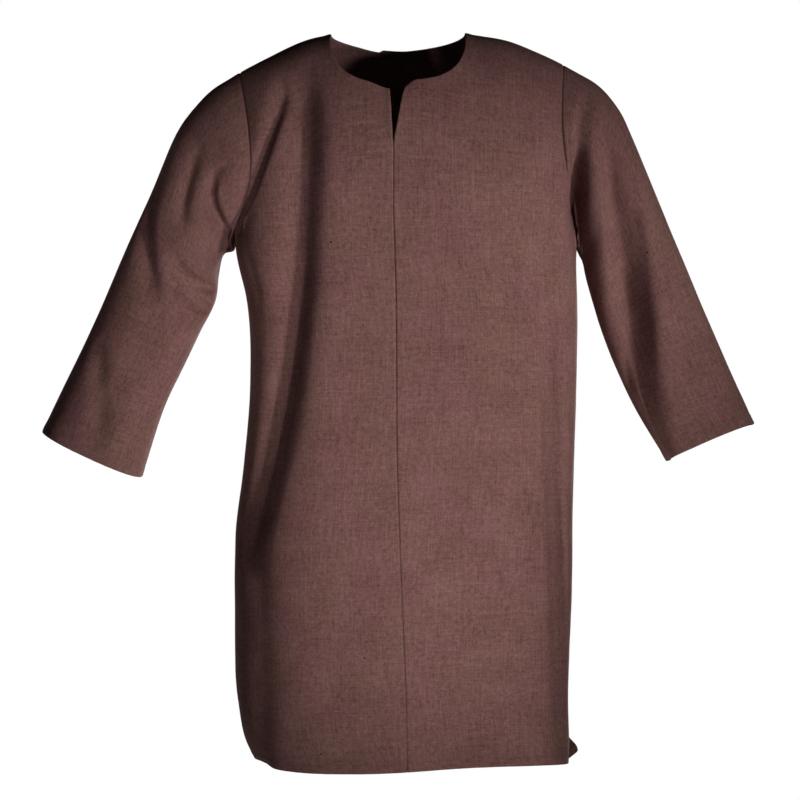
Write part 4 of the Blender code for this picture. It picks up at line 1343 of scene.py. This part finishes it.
# Floor, light and camera
studio = {
    "floorZ": -1.42,
    "floorRadius": 1.7,
    "floorSides": 96,
    "floorColour": (0.86, 0.86, 0.85),
    "floorRoughness": 0.9,
    "floorToCamera": (0.88, 0.88, 0.87),    # pale to the eye, but it throws no light up at the cloth
    # degrees from the front towards the wearer's left, degrees up, aim, watts, width, and angle for a spot
    "lights": {
        "frontLight": (27, -15, (0.00, -0.12, -0.33), 180, 0.4, 16.0),
        "highKey": (44, -15, (0.09, -0.12, -0.34), 210, 0.4, 22.5),
        "sleeveKey": (45, 0, (0.40, -0.10, -0.33), 125, 0.4, 13.0),
        "lowKey": (45, -15, (-0.21, -0.12, -0.86), 305, 0.4, 17.0),
        "underLight": (-15, -30, (-0.25, -0.12, -0.30), 60, 0.4, 15.0),
        "lowFill": (-42, 5, (0.24, -0.12, -0.80), 225, 0.4, 12.8),
        "backLight": (160, 8, (0.0, 0.0, -0.5), 110, 0.9, None),
        "rightSideLight": (-142, 5, (0.0, 0.0, -0.5), 14, 1.6, None),
    },
    "lightDistance": 3.1,
    "worldLight": 0.02,
    "white": (1, 1, 1, 1),
    "cameraAt": (-0.0028, -3.2, -0.5014),
    "cameraSensor": 36,                     # millimetres
    "picture": (800, 0.001385),             # pixels across, and metres for each at the tunic's middle
}

bpy.ops.mesh.primitive_circle_add(vertices=studio["floorSides"], radius=studio["floorRadius"],
                                  fill_type="NGON", location=(0, 0, studio["floorZ"]))
floor = bpy.context.object
floor.name = "floor"
floorMaterial, floorNodes, floorLinks, floorShader = newMaterial("paleFloor", studio["floorRoughness"])
floorShader.inputs["Base Color"].default_value = (*studio["floorColour"], 1)
floorGlow, floorMix, floorPath = (floorNodes.new("ShaderNode" + kind)
                                  for kind in ("Emission", "MixShader", "LightPath"))
floorGlow.inputs["Color"].default_value = (*studio["floorToCamera"], 1)
floorLinks.new(floorPath.outputs["Is Camera Ray"], floorMix.inputs[0])
floorLinks.new(floorShader.outputs[0], floorMix.inputs[1])
floorLinks.new(floorGlow.outputs[0], floorMix.inputs[2])
floorLinks.new(floorMix.outputs[0], floorNodes["Material Output"].inputs["Surface"])
floor.data.materials.append(floorMaterial)


def studioLight(name, around, up, aim, power, size, angle):
    light = bpy.data.lights.new(name, "SPOT" if angle else "AREA")
    if angle:
        light.spot_size = math.radians(angle)
        light.spot_blend = 1.0
        light.shadow_soft_size = size / 2
    else:
        light.shape = "DISK"
        light.size = size
    light.energy = power
    around, up = math.radians(around), math.radians(up)
    towards = Vector((math.sin(around) * math.cos(up), -math.cos(around) * math.cos(up), math.sin(up)))
    obj = placed(name, light)
    obj.location = Vector(aim) + towards * studio["lightDistance"]
    obj.rotation_euler = (-towards).to_track_quat("-Z", "Y").to_euler()
    obj.visible_camera = False


for name, settings in studio["lights"].items():
    studioLight(name, *settings)

world = bpy.data.worlds.new("studio")
bpy.context.scene.world = world
world.use_nodes = True
worldNodes, links = world.node_tree.nodes, world.node_tree.links
worldNodes.clear()
output, chooser, path = (worldNodes.new("ShaderNode" + kind)
                         for kind in ("OutputWorld", "MixShader", "LightPath"))
links.new(path.outputs["Is Camera Ray"], chooser.inputs[0])
for socket, strength in ((1, studio["worldLight"]), (2, 1.0)):
    background = worldNodes.new("ShaderNodeBackground")
    background.inputs["Color"].default_value = studio["white"]
    background.inputs["Strength"].default_value = strength
    links.new(background.outputs[0], chooser.inputs[socket])
links.new(chooser.outputs[0], output.inputs[0])

camera = placed("camera", bpy.data.cameras.new("camera"))
camera.location = studio["cameraAt"]
camera.rotation_euler = (math.pi / 2, 0, 0)
camera.data.sensor_width = studio["cameraSensor"]
pixels, pixelMetres = studio["picture"]
camera.data.lens = studio["cameraSensor"] * -studio["cameraAt"][1] / (pixels * pixelMetres)
bpy.context.scene.camera = camera
bpy.context.scene.view_settings.view_transform = "Standard"
print("studio made")
